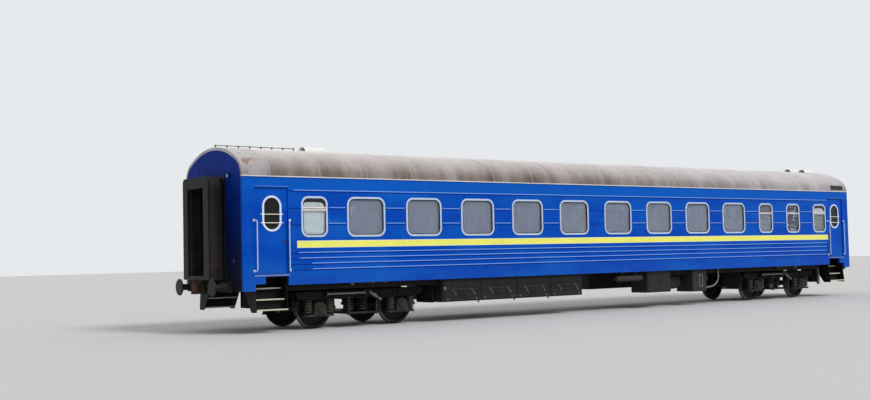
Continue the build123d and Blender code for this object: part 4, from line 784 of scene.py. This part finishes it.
gap = arched_plate("vent_gaps", gap_width, gap_height, gap_corner)
gaps = repeat(gap, [(x, gap_face, gap_foot, 0) for x in wash_windows], "vent_gaps")
finish(gaps, room_shade, "coach")
flap = arched_plate("vent_flaps", flap_width, flap_height, flap_corner)
flaps = repeat(flap, [(x + flap_shift, flap_face, flap_foot, 0) for x in wash_windows], "vent_flaps")
finish(flaps, frosted, "coach")
half_bar = narrow_window / 2 - seal_inset + 0.004
bar = block("vent_bars", (-half_bar, -vent_bar_depth, vent_bar_low), (half_bar, 0.0, vent_bar_high), 0.003)
bars = repeat(bar, [(x, -side_face, 0, 0) for x in wash_windows], "vent_bars")
bar_paint = painted("bar_paint", "#E6E2E6", 0.45, tone=0.05, tone_size=6.0, streak=0.2, streak_tone="#9A98A0")
finish(bars, bar_paint, "coach")

# Side doors: pressed steel leaves in the body's blue. A bright ring holds the oval light, two cream guard
# bars cross it, and the small lock handle is rust red.
corners = ("front_left", "rear_left", "front_right", "rear_right")
door_light_x = 11.03
leaf_face = 1.5012
ring_reach = 0.315
ring_span = (2.28, 3.27)
guard_bars = (2.73, 2.53)
guard_bar_half = 0.008
handle_reach = (-0.39, -0.29)
handle_span = (2.08, 2.14)
ring_bright = "#D3DFF2"
guard_cream = "#FFFAF2"
handle_rust = "#4A2B33"
door_blue, tree, shader, point, facing = surface("door_blue", 0.38, gloss=paint_gloss)
spot = axes_of(tree, point)
away = math_of(tree, "SUBTRACT", reach_of(tree, spot["X"]), door_light_x)
colour = coach_blue(tree, point, spot)
proud = over(tree, reach_of(tree, spot["Y"]), leaf_face)
near = product(tree, between(tree, away, -ring_reach, ring_reach), between(tree, spot["Z"], *ring_span))
bars = any_level(tree, spot["Z"], guard_bars, -guard_bar_half, guard_bar_half)
colour = mix(tree, product(tree, near, proud), colour, mix(tree, bars, tint(ring_bright), tint(guard_cream)))
handle = product(tree, between(tree, away, *handle_reach), between(tree, spot["Z"], *handle_span))
colour = mix(tree, product(tree, handle, proud), colour, tint(handle_rust))
weather(tree, shader, point, facing, colour, dust=0.14, low=rail + 1.30, high=rail + 1.70, rust=0.08,
        **blue_wear)
wavy(tree, shader, point, 0.008)
door_glass = clear_glass("door_glass", "#9AA3A0", 4.0, 0.4, 0.2)
for corner in corners:
    coat(door_blue, f"side_door_{corner}")
    coat(door_glass, f"side_door_glass_{corner}")
for end in ends:
    coat(door_glass, f"end_door_glass_{end}")

# Gangways: welded steel portals with a fall plate, and a thick rubber roller bent over the passage between
# them. All of it is black under dust, and the portals rust at their edges.
portal_steel = painted("portal_steel", "#17181A", 0.55, tone=0.2, dust=0.35, dust_tone="#5A5148",
                       low=rail + 1.0, high=rail + 3.2, rust=0.3, rust_size=4.0)
coat(portal_steel, "gangway_frames")
roller_rubber = painted("roller_rubber", "#131315", 0.75, tone=0.25, tone_size=2.0, streak=0.35,
                        streak_tone="#4A453F", dust=0.3, dust_tone="#5A5148", low=rail + 1.0, high=rail + 3.6,
                        grain=0.001, grain_size=25.0)
coat(roller_rubber, "gangway_tubes")

# Inside: partitions of laminated board behind the vestibules and along the corridor, and a brown floor sheet
# laid over the deck.
laminate = painted("laminate", "#8E8670", 0.42, tone=0.05, tone_size=1.2, dust=0.2, low=1.3, high=2.0)
coat(laminate, "inner_walls")
floor_sheet = painted("floor_sheet", "#3A322B", 0.7, tone=0.2, tone_size=4.0, grain=0.0006, grain_size=40.0)
coat(floor_sheet, "floor")

# Underframe: welded beams in black paint under brown-grey dust. The jacking pads below the sills carry
# scraps of red and white paint.
pad_reach = 1.34
pad_x = (7.80, 8.90)
pad_z = (0.9, 1.13)
pad_tones = ((0.40, "#221C1A"), (0.50, "#5A2E28"), (0.60, "#9A938C"))
frame_black, tree, shader, point, facing = surface("frame_black", 0.7)
spot = axes_of(tree, point)
pads = product(tree, over(tree, reach_of(tree, spot["Y"]), pad_reach),
               between(tree, reach_of(tree, spot["X"]), *pad_x), between(tree, spot["Z"], *pad_z), 0.8)
chips = ramp(tree, noise(tree, point, 11.0, 4.0), pad_tones)
weather(tree, shader, point, facing, mix(tree, pads, tint("#100F0E"), chips), tone=0.3, tone_size=3.0,
        dust=0.22, dust_tone="#4A4239", low=rail + 0.7, high=rail + 1.5, rust=0.25, rust_size=3.0,
        grain=0.001, grain_size=30.0)
coat(frame_black, "underframe")

# Cable troughs: folded steel channels with clipped lids, hung from the cross bearers on straps. They run over
# the bogies on both sides, from the boxes below the floor to the end vestibules.
trough_inner = 1.20
trough_outer = 1.32
trough_low = 0.965
trough_high = 1.105
clip_pitch = 0.475
clip_half = 0.015
clip_proud = 0.004
strap_half = 0.02
strap_inset = 0.035
bearer_places = (5.31, 6.49, 7.67, 8.85, 10.03)
bearer_foot = 1.160
trough_runs = (
    (-1, -10.600, -6.105), (-1, 2.605, 3.595), (-1, 4.255, 10.335),
    (1, -10.600, -5.205), (1, 3.305, 10.600),
)


def side_block(name, side, x_low, x_high, inner, outer, z_low, z_high, edge=0.003):
    """A piece on one side of the coach, between two distances from its middle line."""
    low_y, high_y = sorted((side * inner, side * outer))
    return block(name, (x_low, low_y, z_low), (x_high, high_y, z_high), edge)


troughs = []
for side, start, stop in trough_runs:
    troughs.append(side_block(
        "channel", side, start, stop, trough_inner, trough_outer, trough_low, trough_high, 0.006,
    ))
    clips = max(2, round((stop - start) / clip_pitch))
    for i in range(clips):
        x = start + (stop - start) * (i + 0.5) / clips
        troughs.append(side_block(
            "clip", side, x - clip_half, x + clip_half, trough_inner - clip_proud, trough_outer + clip_proud,
            trough_low - clip_proud, trough_high + clip_proud,
        ))
    for x in [end * x for end in (-1, 1) for x in bearer_places]:
        if start < x < stop:
            troughs.append(side_block(
                "strap", side, x - strap_half, x + strap_half, trough_inner + strap_inset,
                trough_outer - strap_inset, trough_high - 0.01, bearer_foot,
            ))
finish(merge(troughs, "cable_troughs"), frame_black, "coach", 30)

# Spray guards: ribbed sheets hung across the coach before and behind each bogie, on both sides. The inner
# ones hang from the equipment rails, and the outer ones reach up to the deck.
guard_table = ((6.20, 1.165), (10.50, 1.290))
guard_inner = 0.45
guard_middle = 0.82
guard_outer = 1.185
guard_low = 0.50
guard_half = 0.003
rib_depth = 0.014
rib_width = 0.02
guards = []
for x, high in [(end * x, high) for end in (-1, 1) for x, high in guard_table]:
    for side in (-1, 1):
        guards.append(side_block(
            "sheet", side, x - guard_half, x + guard_half, guard_inner, guard_outer, guard_low, high, 0.001,
        ))
        for reach in (guard_inner + rib_width, guard_middle, guard_outer - rib_width):
            guards.append(side_block(
                "rib", side, x - rib_depth, x + rib_depth, reach - rib_width, reach + rib_width,
                guard_low, high,
            ))
finish(merge(guards, "spray_guards"), frame_black, "coach", 30)

# Steps: treads folded from sheet steel, with bright worn front edges, between black cheek plates. Hinged
# covers of the same steel close the wells.
tread_span = (10.652, 11.458)
step_black = "#161514"
worn_edge = "#C9C6B4"
step_steel, tree, shader, point, facing = surface("step_steel", 0.55)
spot = axes_of(tree, point)
tread = between(tree, reach_of(tree, spot["X"]), *tread_span)
nosing = product(tree, tread, over(tree, reach_of(tree, facing["Y"]), 0.5))
colour = mix(tree, nosing, tint(step_black), tint(worn_edge))
weather(tree, shader, point, facing, colour, tone=0.15, tone_size=9.0, dust=0.35, dust_tone="#6A6152",
        low=0.0, high=0.1, rust=0.18, rust_size=7.0, grain=0.0008, grain_size=50.0)
coat(step_steel, "entrance_steps", *[f"step_cover_{corner}" for corner in corners])

# Step risers: thin black sheets that stand on the back edge of each tread. The two upper ones are stiffened
# by a pressed panel, and the lowest one is plain.
riser_front = 10.658
riser_rear = 11.452
riser_depth = 0.004
panel_inset = 0.035
panel_bevel = 0.006
panel_depth = 0.0025
riser_table = ((1.2555, 0.561, 0.768, False), (1.098, 0.796, 1.023, True), (0.918, 1.051, 1.285, True))


def open_outer_face(piece):
    """Starts work on the mesh of a piece with only its left-hand faces chosen."""
    bpy.ops.object.mode_set(mode="EDIT")
    bpy.ops.mesh.select_mode(type="FACE")
    bpy.ops.mesh.select_all(action="DESELECT")
    bpy.ops.object.mode_set(mode="OBJECT")
    for face in piece.data.polygons:
        face.select = face.normal.y < -0.9
    bpy.ops.object.mode_set(mode="EDIT")


def riser(reach, low, high, pressed):
    """One riser, plain or with its pressed panel, at a distance from the coach's middle line."""
    sheet = block("riser", (riser_front, -reach - riser_depth, low), (riser_rear, -reach, high))
    if pressed:
        open_outer_face(sheet)
        bpy.ops.mesh.inset(thickness=panel_inset)
        bpy.ops.mesh.inset(thickness=panel_bevel)
        bpy.ops.transform.translate(value=(0, panel_depth, 0))
        bpy.ops.object.mode_set(mode="OBJECT")
    return sheet


riser_black = painted("riser_black", "#131212", 0.65, tone=0.2, tone_size=5.0, dust=0.2, dust_tone="#4A4239",
                      low=0.5, high=1.1, rust=0.2, rust_size=5.0)
risers = merge([riser(*row) for row in riser_table], "step_risers")
middle_x = riser_front + riser_rear
spots = [(0, 0, 0, 0), (-middle_x, 0, 0, 0), (0, 0, 0, math.pi), (middle_x, 0, 0, math.pi)]
finish(repeat(risers, spots, "step_risers"), riser_black, "coach", 30)

# Hand rails: bent tube in pale paint. Each end turns back to a round foot on the wall, set a little further
# from the doorway than the grip.
grip_radius = 0.0135
grip_reach = 0.070
grip_shift = 0.045
grip_low = 1.450
grip_high = 2.612
grip_bend = 0.030
foot_radius = 0.032
foot_depth = 0.010
foot_edge = 0.003
outer_rail = 11.505
inner_rail = 10.575


def tube(name, corners, radius, bend=0.03):
    """A round tube along straight runs with rounded corners, its ends closed."""
    deselect()
    bpy.ops.curve.primitive_bezier_curve_add()
    line = bpy.context.object.data
    corners = [Vector(corner) for corner in corners]
    knots = [(corners[0], corners[0], corners[0])]
    for before, corner, after in zip(corners, corners[1:], corners[2:]):
        back = (before - corner).normalized() * bend
        onward = (after - corner).normalized() * bend
        knots.append((corner + back, corner + back, corner + 0.45 * back))
        knots.append((corner + onward, corner + 0.45 * onward, corner + onward))
    knots.append((corners[-1], corners[-1], corners[-1]))
    line.splines[0].bezier_points.add(len(knots) - 2)
    for knot, (spot, left, right) in zip(line.splines[0].bezier_points, knots):
        knot.handle_left_type = knot.handle_right_type = "FREE"
        knot.co, knot.handle_left, knot.handle_right = spot, left, right
    line.dimensions = "3D"
    line.resolution_u = 4
    line.bevel_depth = radius
    line.bevel_resolution = 3
    line.use_fill_caps = True
    bpy.ops.object.convert(target="MESH")
    piece = named(name)
    bpy.ops.object.mode_set(mode="EDIT")
    bpy.ops.mesh.select_all(action="SELECT")
    bpy.ops.mesh.remove_doubles(threshold=0.0001)
    bpy.ops.mesh.normals_make_consistent(inside=False)
    bpy.ops.object.mode_set(mode="OBJECT")
    return piece


def disc(name, radius, depth, place, edge=0.0, sides=24, steps=2):
    """A flat disc on an upright face of the left side, with its rim rounded."""
    deselect()
    bpy.ops.mesh.primitive_cylinder_add(
        vertices=sides, radius=radius, depth=depth, location=place, rotation=(math.radians(90), 0, 0),
    )
    piece = named(name)
    if edge:
        soften(piece, edge, steps)
    apply_all(piece)
    return piece


rail_cream = painted("rail_cream", "#C2CFD6", 0.35, tone=0.06, tone_size=6.0,
                     streak=0.15, streak_tone="#8C8F92", rust=0.10, rust_size=18.0)
for name, shift, places in (
    ("forward_rails", grip_shift, ((-outer_rail, -1), (inner_rail, -1), (inner_rail, 1), (-outer_rail, 1))),
    ("backward_rails", -grip_shift, ((-inner_rail, -1), (outer_rail, -1), (outer_rail, 1), (-inner_rail, 1))),
):
    for side, label in ((-1, "left"), (1, "right")):
        lean = shift * -side
        grip = tube(name, [
            (0, 0, grip_low), (lean, -grip_reach, grip_low),
            (lean, -grip_reach, grip_high), (0, 0, grip_high),
        ], grip_radius, grip_bend)
        feet = [
            disc("foot", foot_radius, foot_depth, (0, -foot_depth / 2, z), foot_edge)
            for z in (grip_low, grip_high)
        ]
        spots = [(x, side * side_face, 0, 0 if side < 0 else math.pi) for x, where in places if where == side]
        rails = repeat(merge([grip] + feet, name), spots, f"{name}_{label}")
        finish(rails, rail_cream, "coach")
        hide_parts("hand_rails")

# Couplers and buffers: the couplers are cast steel and the buffers are turned, oily where they rub and rusty
# where they do not.
coupler_iron = painted("coupler_iron", "#2B2622", 0.6, 0.3, tone=0.25, tone_size=6.0, rust=0.5, rust_size=5.0,
                       dust=0.2, low=0.2, high=1.4, grain=0.0015, grain_size=45.0)
coat(coupler_iron, "couplers")
buffer_steel = painted("buffer_steel", "#1F1E1D", 0.45, 0.3, tone=0.2, tone_size=5.0, rust=0.4, rust_size=6.0,
                       dust=0.3, dust_tone="#5A5249", low=0.6, high=1.5)
coat(buffer_steel, "buffers")

# Battery box and lockers: folded sheet doors in dark grey under dust. The sloped flanks of the battery box's
# pressings are painted pale as a painted highlight. The locker before the rear bogie is a little paler.
pale_locker = (3.5, 4.4)
box_wear = {
    "tone_size": 2.5, "dust_tone": "#5E584F", "low": 0.0, "rust_size": 4.0,
    "grain": 0.0008, "grain_size": 35.0,
}
locker_paint, tree, shader, point, facing = surface("locker_paint", 0.6)
flank_highlight = product(tree, between(tree, reach_of(tree, facing["X"]), 0.3, 0.93, 0.05), 0.8)
weather(tree, shader, point, facing, mix(tree, flank_highlight, tint("#1C1D1E"), tint("#8A857C")), tone=0.22,
        streak=0.22, streak_tone="#45413C", dust=0.55, high=0.75, rust=0.20, **box_wear)
coat(locker_paint, "battery_box")
grey_paint, tree, shader, point, facing = surface("grey_paint", 0.6)
paler = between(tree, axes_of(tree, point)["X"], *pale_locker)
weather(tree, shader, point, facing, mix(tree, paler, tint("#26272A"), tint("#2B2C2E")), tone=0.18,
        streak=0.24, streak_tone="#48443E", dust=0.40, high=0.70, rust=0.16, **box_wear)
coat(grey_paint, "equipment_lockers")

# Locker fittings on the left side: a dark lock bar, a pale loop on the last door, and the water filling pipe
# that comes down behind the skirt and turns back into that locker.
locker_face = -1.42
lock_bar_x = (2.074, 2.114)
lock_bar_z = (0.66, 0.87)
lock_bar_depth = 0.018
loop_x = 3.985
loop_level = 0.76
loop_width = 0.17
loop_height = 0.40
loop_corner = 0.07
loop_bar = 0.024
loop_depth = 0.02
pipe_line = ((4.90, -1.36, 1.10), (4.90, -1.36, 0.74), (4.66, -1.36, 0.56), (4.235, -1.36, 0.53))
pipe_radius = 0.026
pipe_bend = 0.10
lock_black = painted("lock_black", "#0C0C0C", 0.45, tone=0.2, tone_size=15.0, rust=0.2, rust_size=15.0)
lock_bar = block("lock_bar", (lock_bar_x[0], locker_face - lock_bar_depth, lock_bar_z[0]),
                 (lock_bar_x[1], locker_face, lock_bar_z[1]), 0.007)
finish(lock_bar, lock_black, "coach")
dull_zinc = painted("dull_zinc", "#7C7D7B", 0.5, 0.3, tone=0.15, tone_size=9.0, dust=0.25,
                    dust_tone="#5E584F", low=0.3, high=1.2, rust=0.2, rust_size=9.0)
loop = thicken(upright_plate("door_loop", loop_width, loop_height, loop_corner, loop_bar), loop_depth, 0.006)
finish(repeat(loop, [(loop_x, locker_face, loop_level, 0)], "door_loop"), dull_zinc, "coach")
finish(tube("filling_pipe", pipe_line, pipe_radius, pipe_bend), dull_zinc, "coach")

# Battery door latches: a turned knob with a flat T-grip near the foot of each door, two to a door, and the
# round cover of the charging socket at the front.
battery_front = -6.10
battery_bay = 1.24
battery_face = -1.454
battery_doors = 4
latch_level = 0.575
latch_spread = 0.47
knob_radius = 0.026
knob_foot = 0.012
knob_stem = 0.016
grip_size = (0.085, 0.012, 0.018)
socket_radius = 0.05
socket_depth = 0.03
socket_place = (battery_front + 0.07, battery_face - 0.014, 0.857)


def latch(name):
    """One latch: a stepped knob with a rounded cross grip."""
    knob = disc(name, knob_radius, knob_foot, (0, -knob_foot / 2, 0), sides=20)
    open_outer_face(knob)
    bpy.ops.mesh.inset(thickness=0.012)
    bpy.ops.mesh.extrude_region_move(TRANSFORM_OT_translate={"value": (0, -knob_stem, 0)})
    bpy.ops.object.mode_set(mode="OBJECT")
    half_long, half_deep, half_high = [size / 2 for size in grip_size]
    middle_y = -0.032
    grip = block(name + "_grip", (-half_long, middle_y - half_deep, -half_high),
                 (half_long, middle_y + half_deep, half_high), 0.005)
    return merge([knob, grip], name)


latch_iron = painted("latch_iron", "#6B6760", 0.45, 0.4, tone=0.2, tone_size=20.0, rust=0.35, rust_size=20.0)
spots = [
    (battery_front + battery_bay * (door + 0.5) + side * latch_spread, battery_face, latch_level, 0)
    for door in range(battery_doors) for side in (-1, 1)
]
finish(repeat(latch("battery_latches"), spots, "battery_latches"), latch_iron, "coach")
socket = disc("charging_socket", socket_radius, socket_depth, socket_place, 0.008, sides=32, steps=3)
finish(socket, latch_iron, "coach")

# Air reservoirs and waste pipes: welded tanks with domed ends in grey-brown, hung below the floor, and dark
# drop pipes with white streaks.
tank_paint = painted("tank_paint", "#3A3836", 0.55, tone=0.15, tone_size=3.0, dust=0.25, dust_tone="#5E584F",
                     low=0.2, high=1.2, rust=0.20, rust_size=5.0)
coat(tank_paint, "air_reservoirs")
pipe_metal = painted("pipe_metal", "#3A3836", 0.5, tone=0.12, tone_size=5.0, streak=0.8,
                     streak_tone="#C6C4C0", dust=0.2, low=0.3, high=1.2, rust=0.3, rust_size=8.0)
coat(pipe_metal, "waste_pipes")

# Bogie frames, bolsters, axle boxes and brakes: welded and cast steel, once black. Brake soot keeps the
# frames dark, and dust has turned the boxes and brake beams grey.
bogie_steel = painted("bogie_steel", "#121111", 0.7, tone=0.25, tone_size=4.0, dust=0.22, dust_tone="#4A443F",
                      low=0.2, high=1.0, rust=0.24, rust_size=4.0, grain=0.001, grain_size=40.0)
bogie_iron = painted("bogie_iron", "#222120", 0.65, tone=0.3, tone_size=6.0, dust=0.50, dust_tone="#66605A",
                     low=0.1, high=0.80, rust=0.20, rust_size=6.0, grain=0.0012, grain_size=45.0)
for end in ends:
    coat(bogie_steel, f"bogie_frame_{end}", f"swing_bolster_{end}")
    coat(bogie_iron, f"axle_boxes_{end}", f"brakes_{end}")

# Cradles: the spring plank, hanger links, anchor rods and dampers. The rods and damper tubes lie outside the
# frame, where every face is painted pale grey as a painted highlight.
rod_reach = 1.172
cradle_black = "#1C1B1A"
outer_highlight_grey = "#77746F"
cradle_steel, tree, shader, point, facing = surface("cradle_steel", 0.5)
outer = over(tree, reach_of(tree, axes_of(tree, point)["Y"]), rod_reach)
colour = mix(tree, outer, tint(cradle_black), tint(outer_highlight_grey))
weather(tree, shader, point, facing, colour, tone=0.2, tone_size=6.0, dust=0.30, dust_tone="#625B54",
        low=0.1, high=0.9, rust=0.22, rust_size=8.0, grain=0.0008, grain_size=45.0)
coat(cradle_steel, "cradle_front", "cradle_rear")

# Damper shrouds: a turned dust cover round the upper half of each damper, with a rolled lip at its mouth. It
# is fixed to the upper eye and slides over the damper's tube.
bogie_places = {"front": -8.35, "rear": 8.35}
damper_top = Vector((0.200, -1.205, 0.843))
damper_foot = Vector((0.490, -1.205, 0.668))
shroud_radius = 0.045
shroud_span = (0.047, 0.175)
lip_width = 0.014
lip_proud = 0.004
shroud_grey = painted("shroud_grey", "#6E6C68", 0.5, 0.2, tone=0.15, tone_size=9.0, dust=0.25,
                      dust_tone="#625B54", low=0.2, high=1.0, rust=0.2, rust_size=12.0)
line = (damper_foot - damper_top).normalized()
start, stop = [damper_top + line * reach for reach in shroud_span]
for end, middle in bogie_places.items():
    cover = tube("damper_shrouds", (start, stop), shroud_radius)
    lip = tube("lip", (stop - line * lip_width, stop), shroud_radius + lip_proud)
    spots = [(middle, 0, 0, 0), (middle, 0, 0, math.pi)]
    shrouds = repeat(merge([cover, lip], "damper_shrouds"), spots, f"damper_shrouds_{end}")
    finish(shrouds, shroud_grey, f"bogie_{end}")

# Springs: coils of round bar wound hot, an outer and an inner one of the other hand, on the axle-box wings
# and on the spring plank. The tables give radius, foot, top, bar and turns.
axle_reach = 1.2
axle_spring = (0.105, 0.358, 0.702, 0.030, 6)
axle_spring_y = 1.04
axle_spring_x = 0.3
cradle_spring = (0.135, 0.368, 0.728, 0.038, 5)
cradle_spring_y = 0.8
cradle_spring_x = 0.21
spring_dark = "#161514"
spring_highlight = "#6A645C"


def coil(name, radius, low, high, bar, turns, hand=1):
    """One coil of round bar about the vertical, closed at its ends."""
    deselect()
    bpy.ops.mesh.primitive_circle_add(
        vertices=8, radius=bar / 2, location=(radius - bar / 2, 0, low + bar / 2),
        rotation=(math.radians(90), 0, 0),
    )
    spring = named(name)
    bpy.ops.object.transform_apply(location=True, rotation=True, scale=True)
    wind = spring.modifiers.new("wind", "SCREW")
    wind.axis = "Z"
    wind.angle = hand * math.tau
    wind.screw_offset = (high - low - bar) / turns
    wind.iterations = turns
    wind.steps = wind.render_steps = 20
    bpy.ops.object.modifier_apply(modifier="wind")
    bpy.ops.object.mode_set(mode="EDIT")
    bpy.ops.mesh.select_all(action="SELECT")
    bpy.ops.mesh.remove_doubles(threshold=0.0002)
    bpy.ops.mesh.fill_holes(sides=0)
    bpy.ops.mesh.select_all(action="SELECT")
    bpy.ops.mesh.normals_make_consistent(inside=False)
    bpy.ops.object.mode_set(mode="OBJECT")
    return spring


def nest(name, radius, low, high, bar, turns):
    """An outer coil with a thinner one of the other hand inside it."""
    outer_coil = coil(name, radius, low, high, bar, turns)
    inner_coil = coil(name + "_inner", radius - 1.25 * bar, low, high, 0.6 * bar, turns + 3, -1)
    return merge([outer_coil, inner_coil], name)


# The coils are painted paler on their upward faces, as a painted highlight.
spring_steel, tree, shader, point, facing = surface("spring_steel", 0.5, 0.2)
upper_face_highlight = scaled(tree, facing["Z"], -0.2, 0.8, 0.0, 1.0)
colour = mix(tree, upper_face_highlight, tint(spring_dark), tint(spring_highlight))
weather(tree, shader, point, facing, colour, tone=0.2, tone_size=8.0, rust=0.22, rust_size=9.0)
for end, middle in bogie_places.items():
    over_axles = [
        (middle + axle * axle_reach + offset, side * axle_spring_y, 0, 0)
        for axle in (-1, 1) for side in (-1, 1) for offset in (-axle_spring_x, axle_spring_x)
    ]
    over_plank = [
        (middle + offset, side * cradle_spring_y, 0, 0)
        for side in (-1, 1) for offset in (-cradle_spring_x, cradle_spring_x)
    ]
    small = repeat(nest("axle_coils", *axle_spring), over_axles, f"axle_coils_{end}")
    large = repeat(nest("bolster_coils", *cradle_spring), over_plank, f"bolster_coils_{end}")
    for springs in (small, large):
        finish(springs, spring_steel, f"bogie_{end}")
        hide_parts(f"bogie_springs_{end}")

# Axle-box cap screws: six forged hexagon heads in a ring round each bearing cap. They hold the cap on the box
# and have the same dust on them.
cap_face = 1.185
cap_circle = 0.083
cap_screws = 6
screw_radius = 0.0135
screw_head = 0.011
screw_chamfer = 0.0018
axle_level = 0.503
for end, middle in bogie_places.items():
    spots = []
    for axle in (-1, 1):
        for side in (-1, 1):
            for turn in range(cap_screws):
                angle = math.tau * (turn + 0.5) / cap_screws
                spots.append((
                    middle + axle * axle_reach + cap_circle * math.cos(angle),
                    side * cap_face,
                    axle_level + cap_circle * math.sin(angle),
                    0 if side < 0 else math.pi,
                ))
    head_centre = (0, -screw_head / 2, 0)
    head = disc("cap_screws", screw_radius, screw_head, head_centre, screw_chamfer, sides=6, steps=1)
    finish(repeat(head, spots, f"cap_screws_{end}"), bogie_iron, f"bogie_{end}", 25)

# Wheelsets: forged wheels pressed on turned axles. The rail keeps the treads bright, and the rest is brown
# with rust and dust.
tread_reach = 0.455
tread_from = 0.745
wheel_brown = "#23201E"
tread_bright = "#8E8C88"
wheel_steel, tree, shader, point, facing = surface("wheel_steel", 0.5, 0.4)
spot = axes_of(tree, point)
rolling = math_of(tree, "LESS_THAN", reach_of(tree, facing["Y"]), 0.3)
rolling = product(tree, rolling, over(tree, reach_of(tree, spot["Y"]), tread_from))
nearest = beyond
for middle in bogie_places.values():
    for axle in (-1, 1):
        run = math_of(tree, "POWER", math_of(tree, "SUBTRACT", spot["X"], middle + axle * axle_reach), 2.0)
        climb = math_of(tree, "POWER", math_of(tree, "SUBTRACT", spot["Z"], axle_level), 2.0)
        from_axle = math_of(tree, "POWER", math_of(tree, "ADD", run, climb), 0.5)
        nearest = math_of(tree, "MINIMUM", nearest, from_axle)
bright = product(tree, over(tree, nearest, tread_reach), rolling)
colour = mix(tree, bright, tint(wheel_brown), tint(tread_bright))
weather(tree, shader, point, facing, colour, tone=0.2, tone_size=5.0,
        rust=0.35, rust_size=6.0, grain=0.0008, grain_size=60.0)
for end in ends:
    coat(wheel_steel, f"wheelset_{end}_outer", f"wheelset_{end}_inner")

deselect()
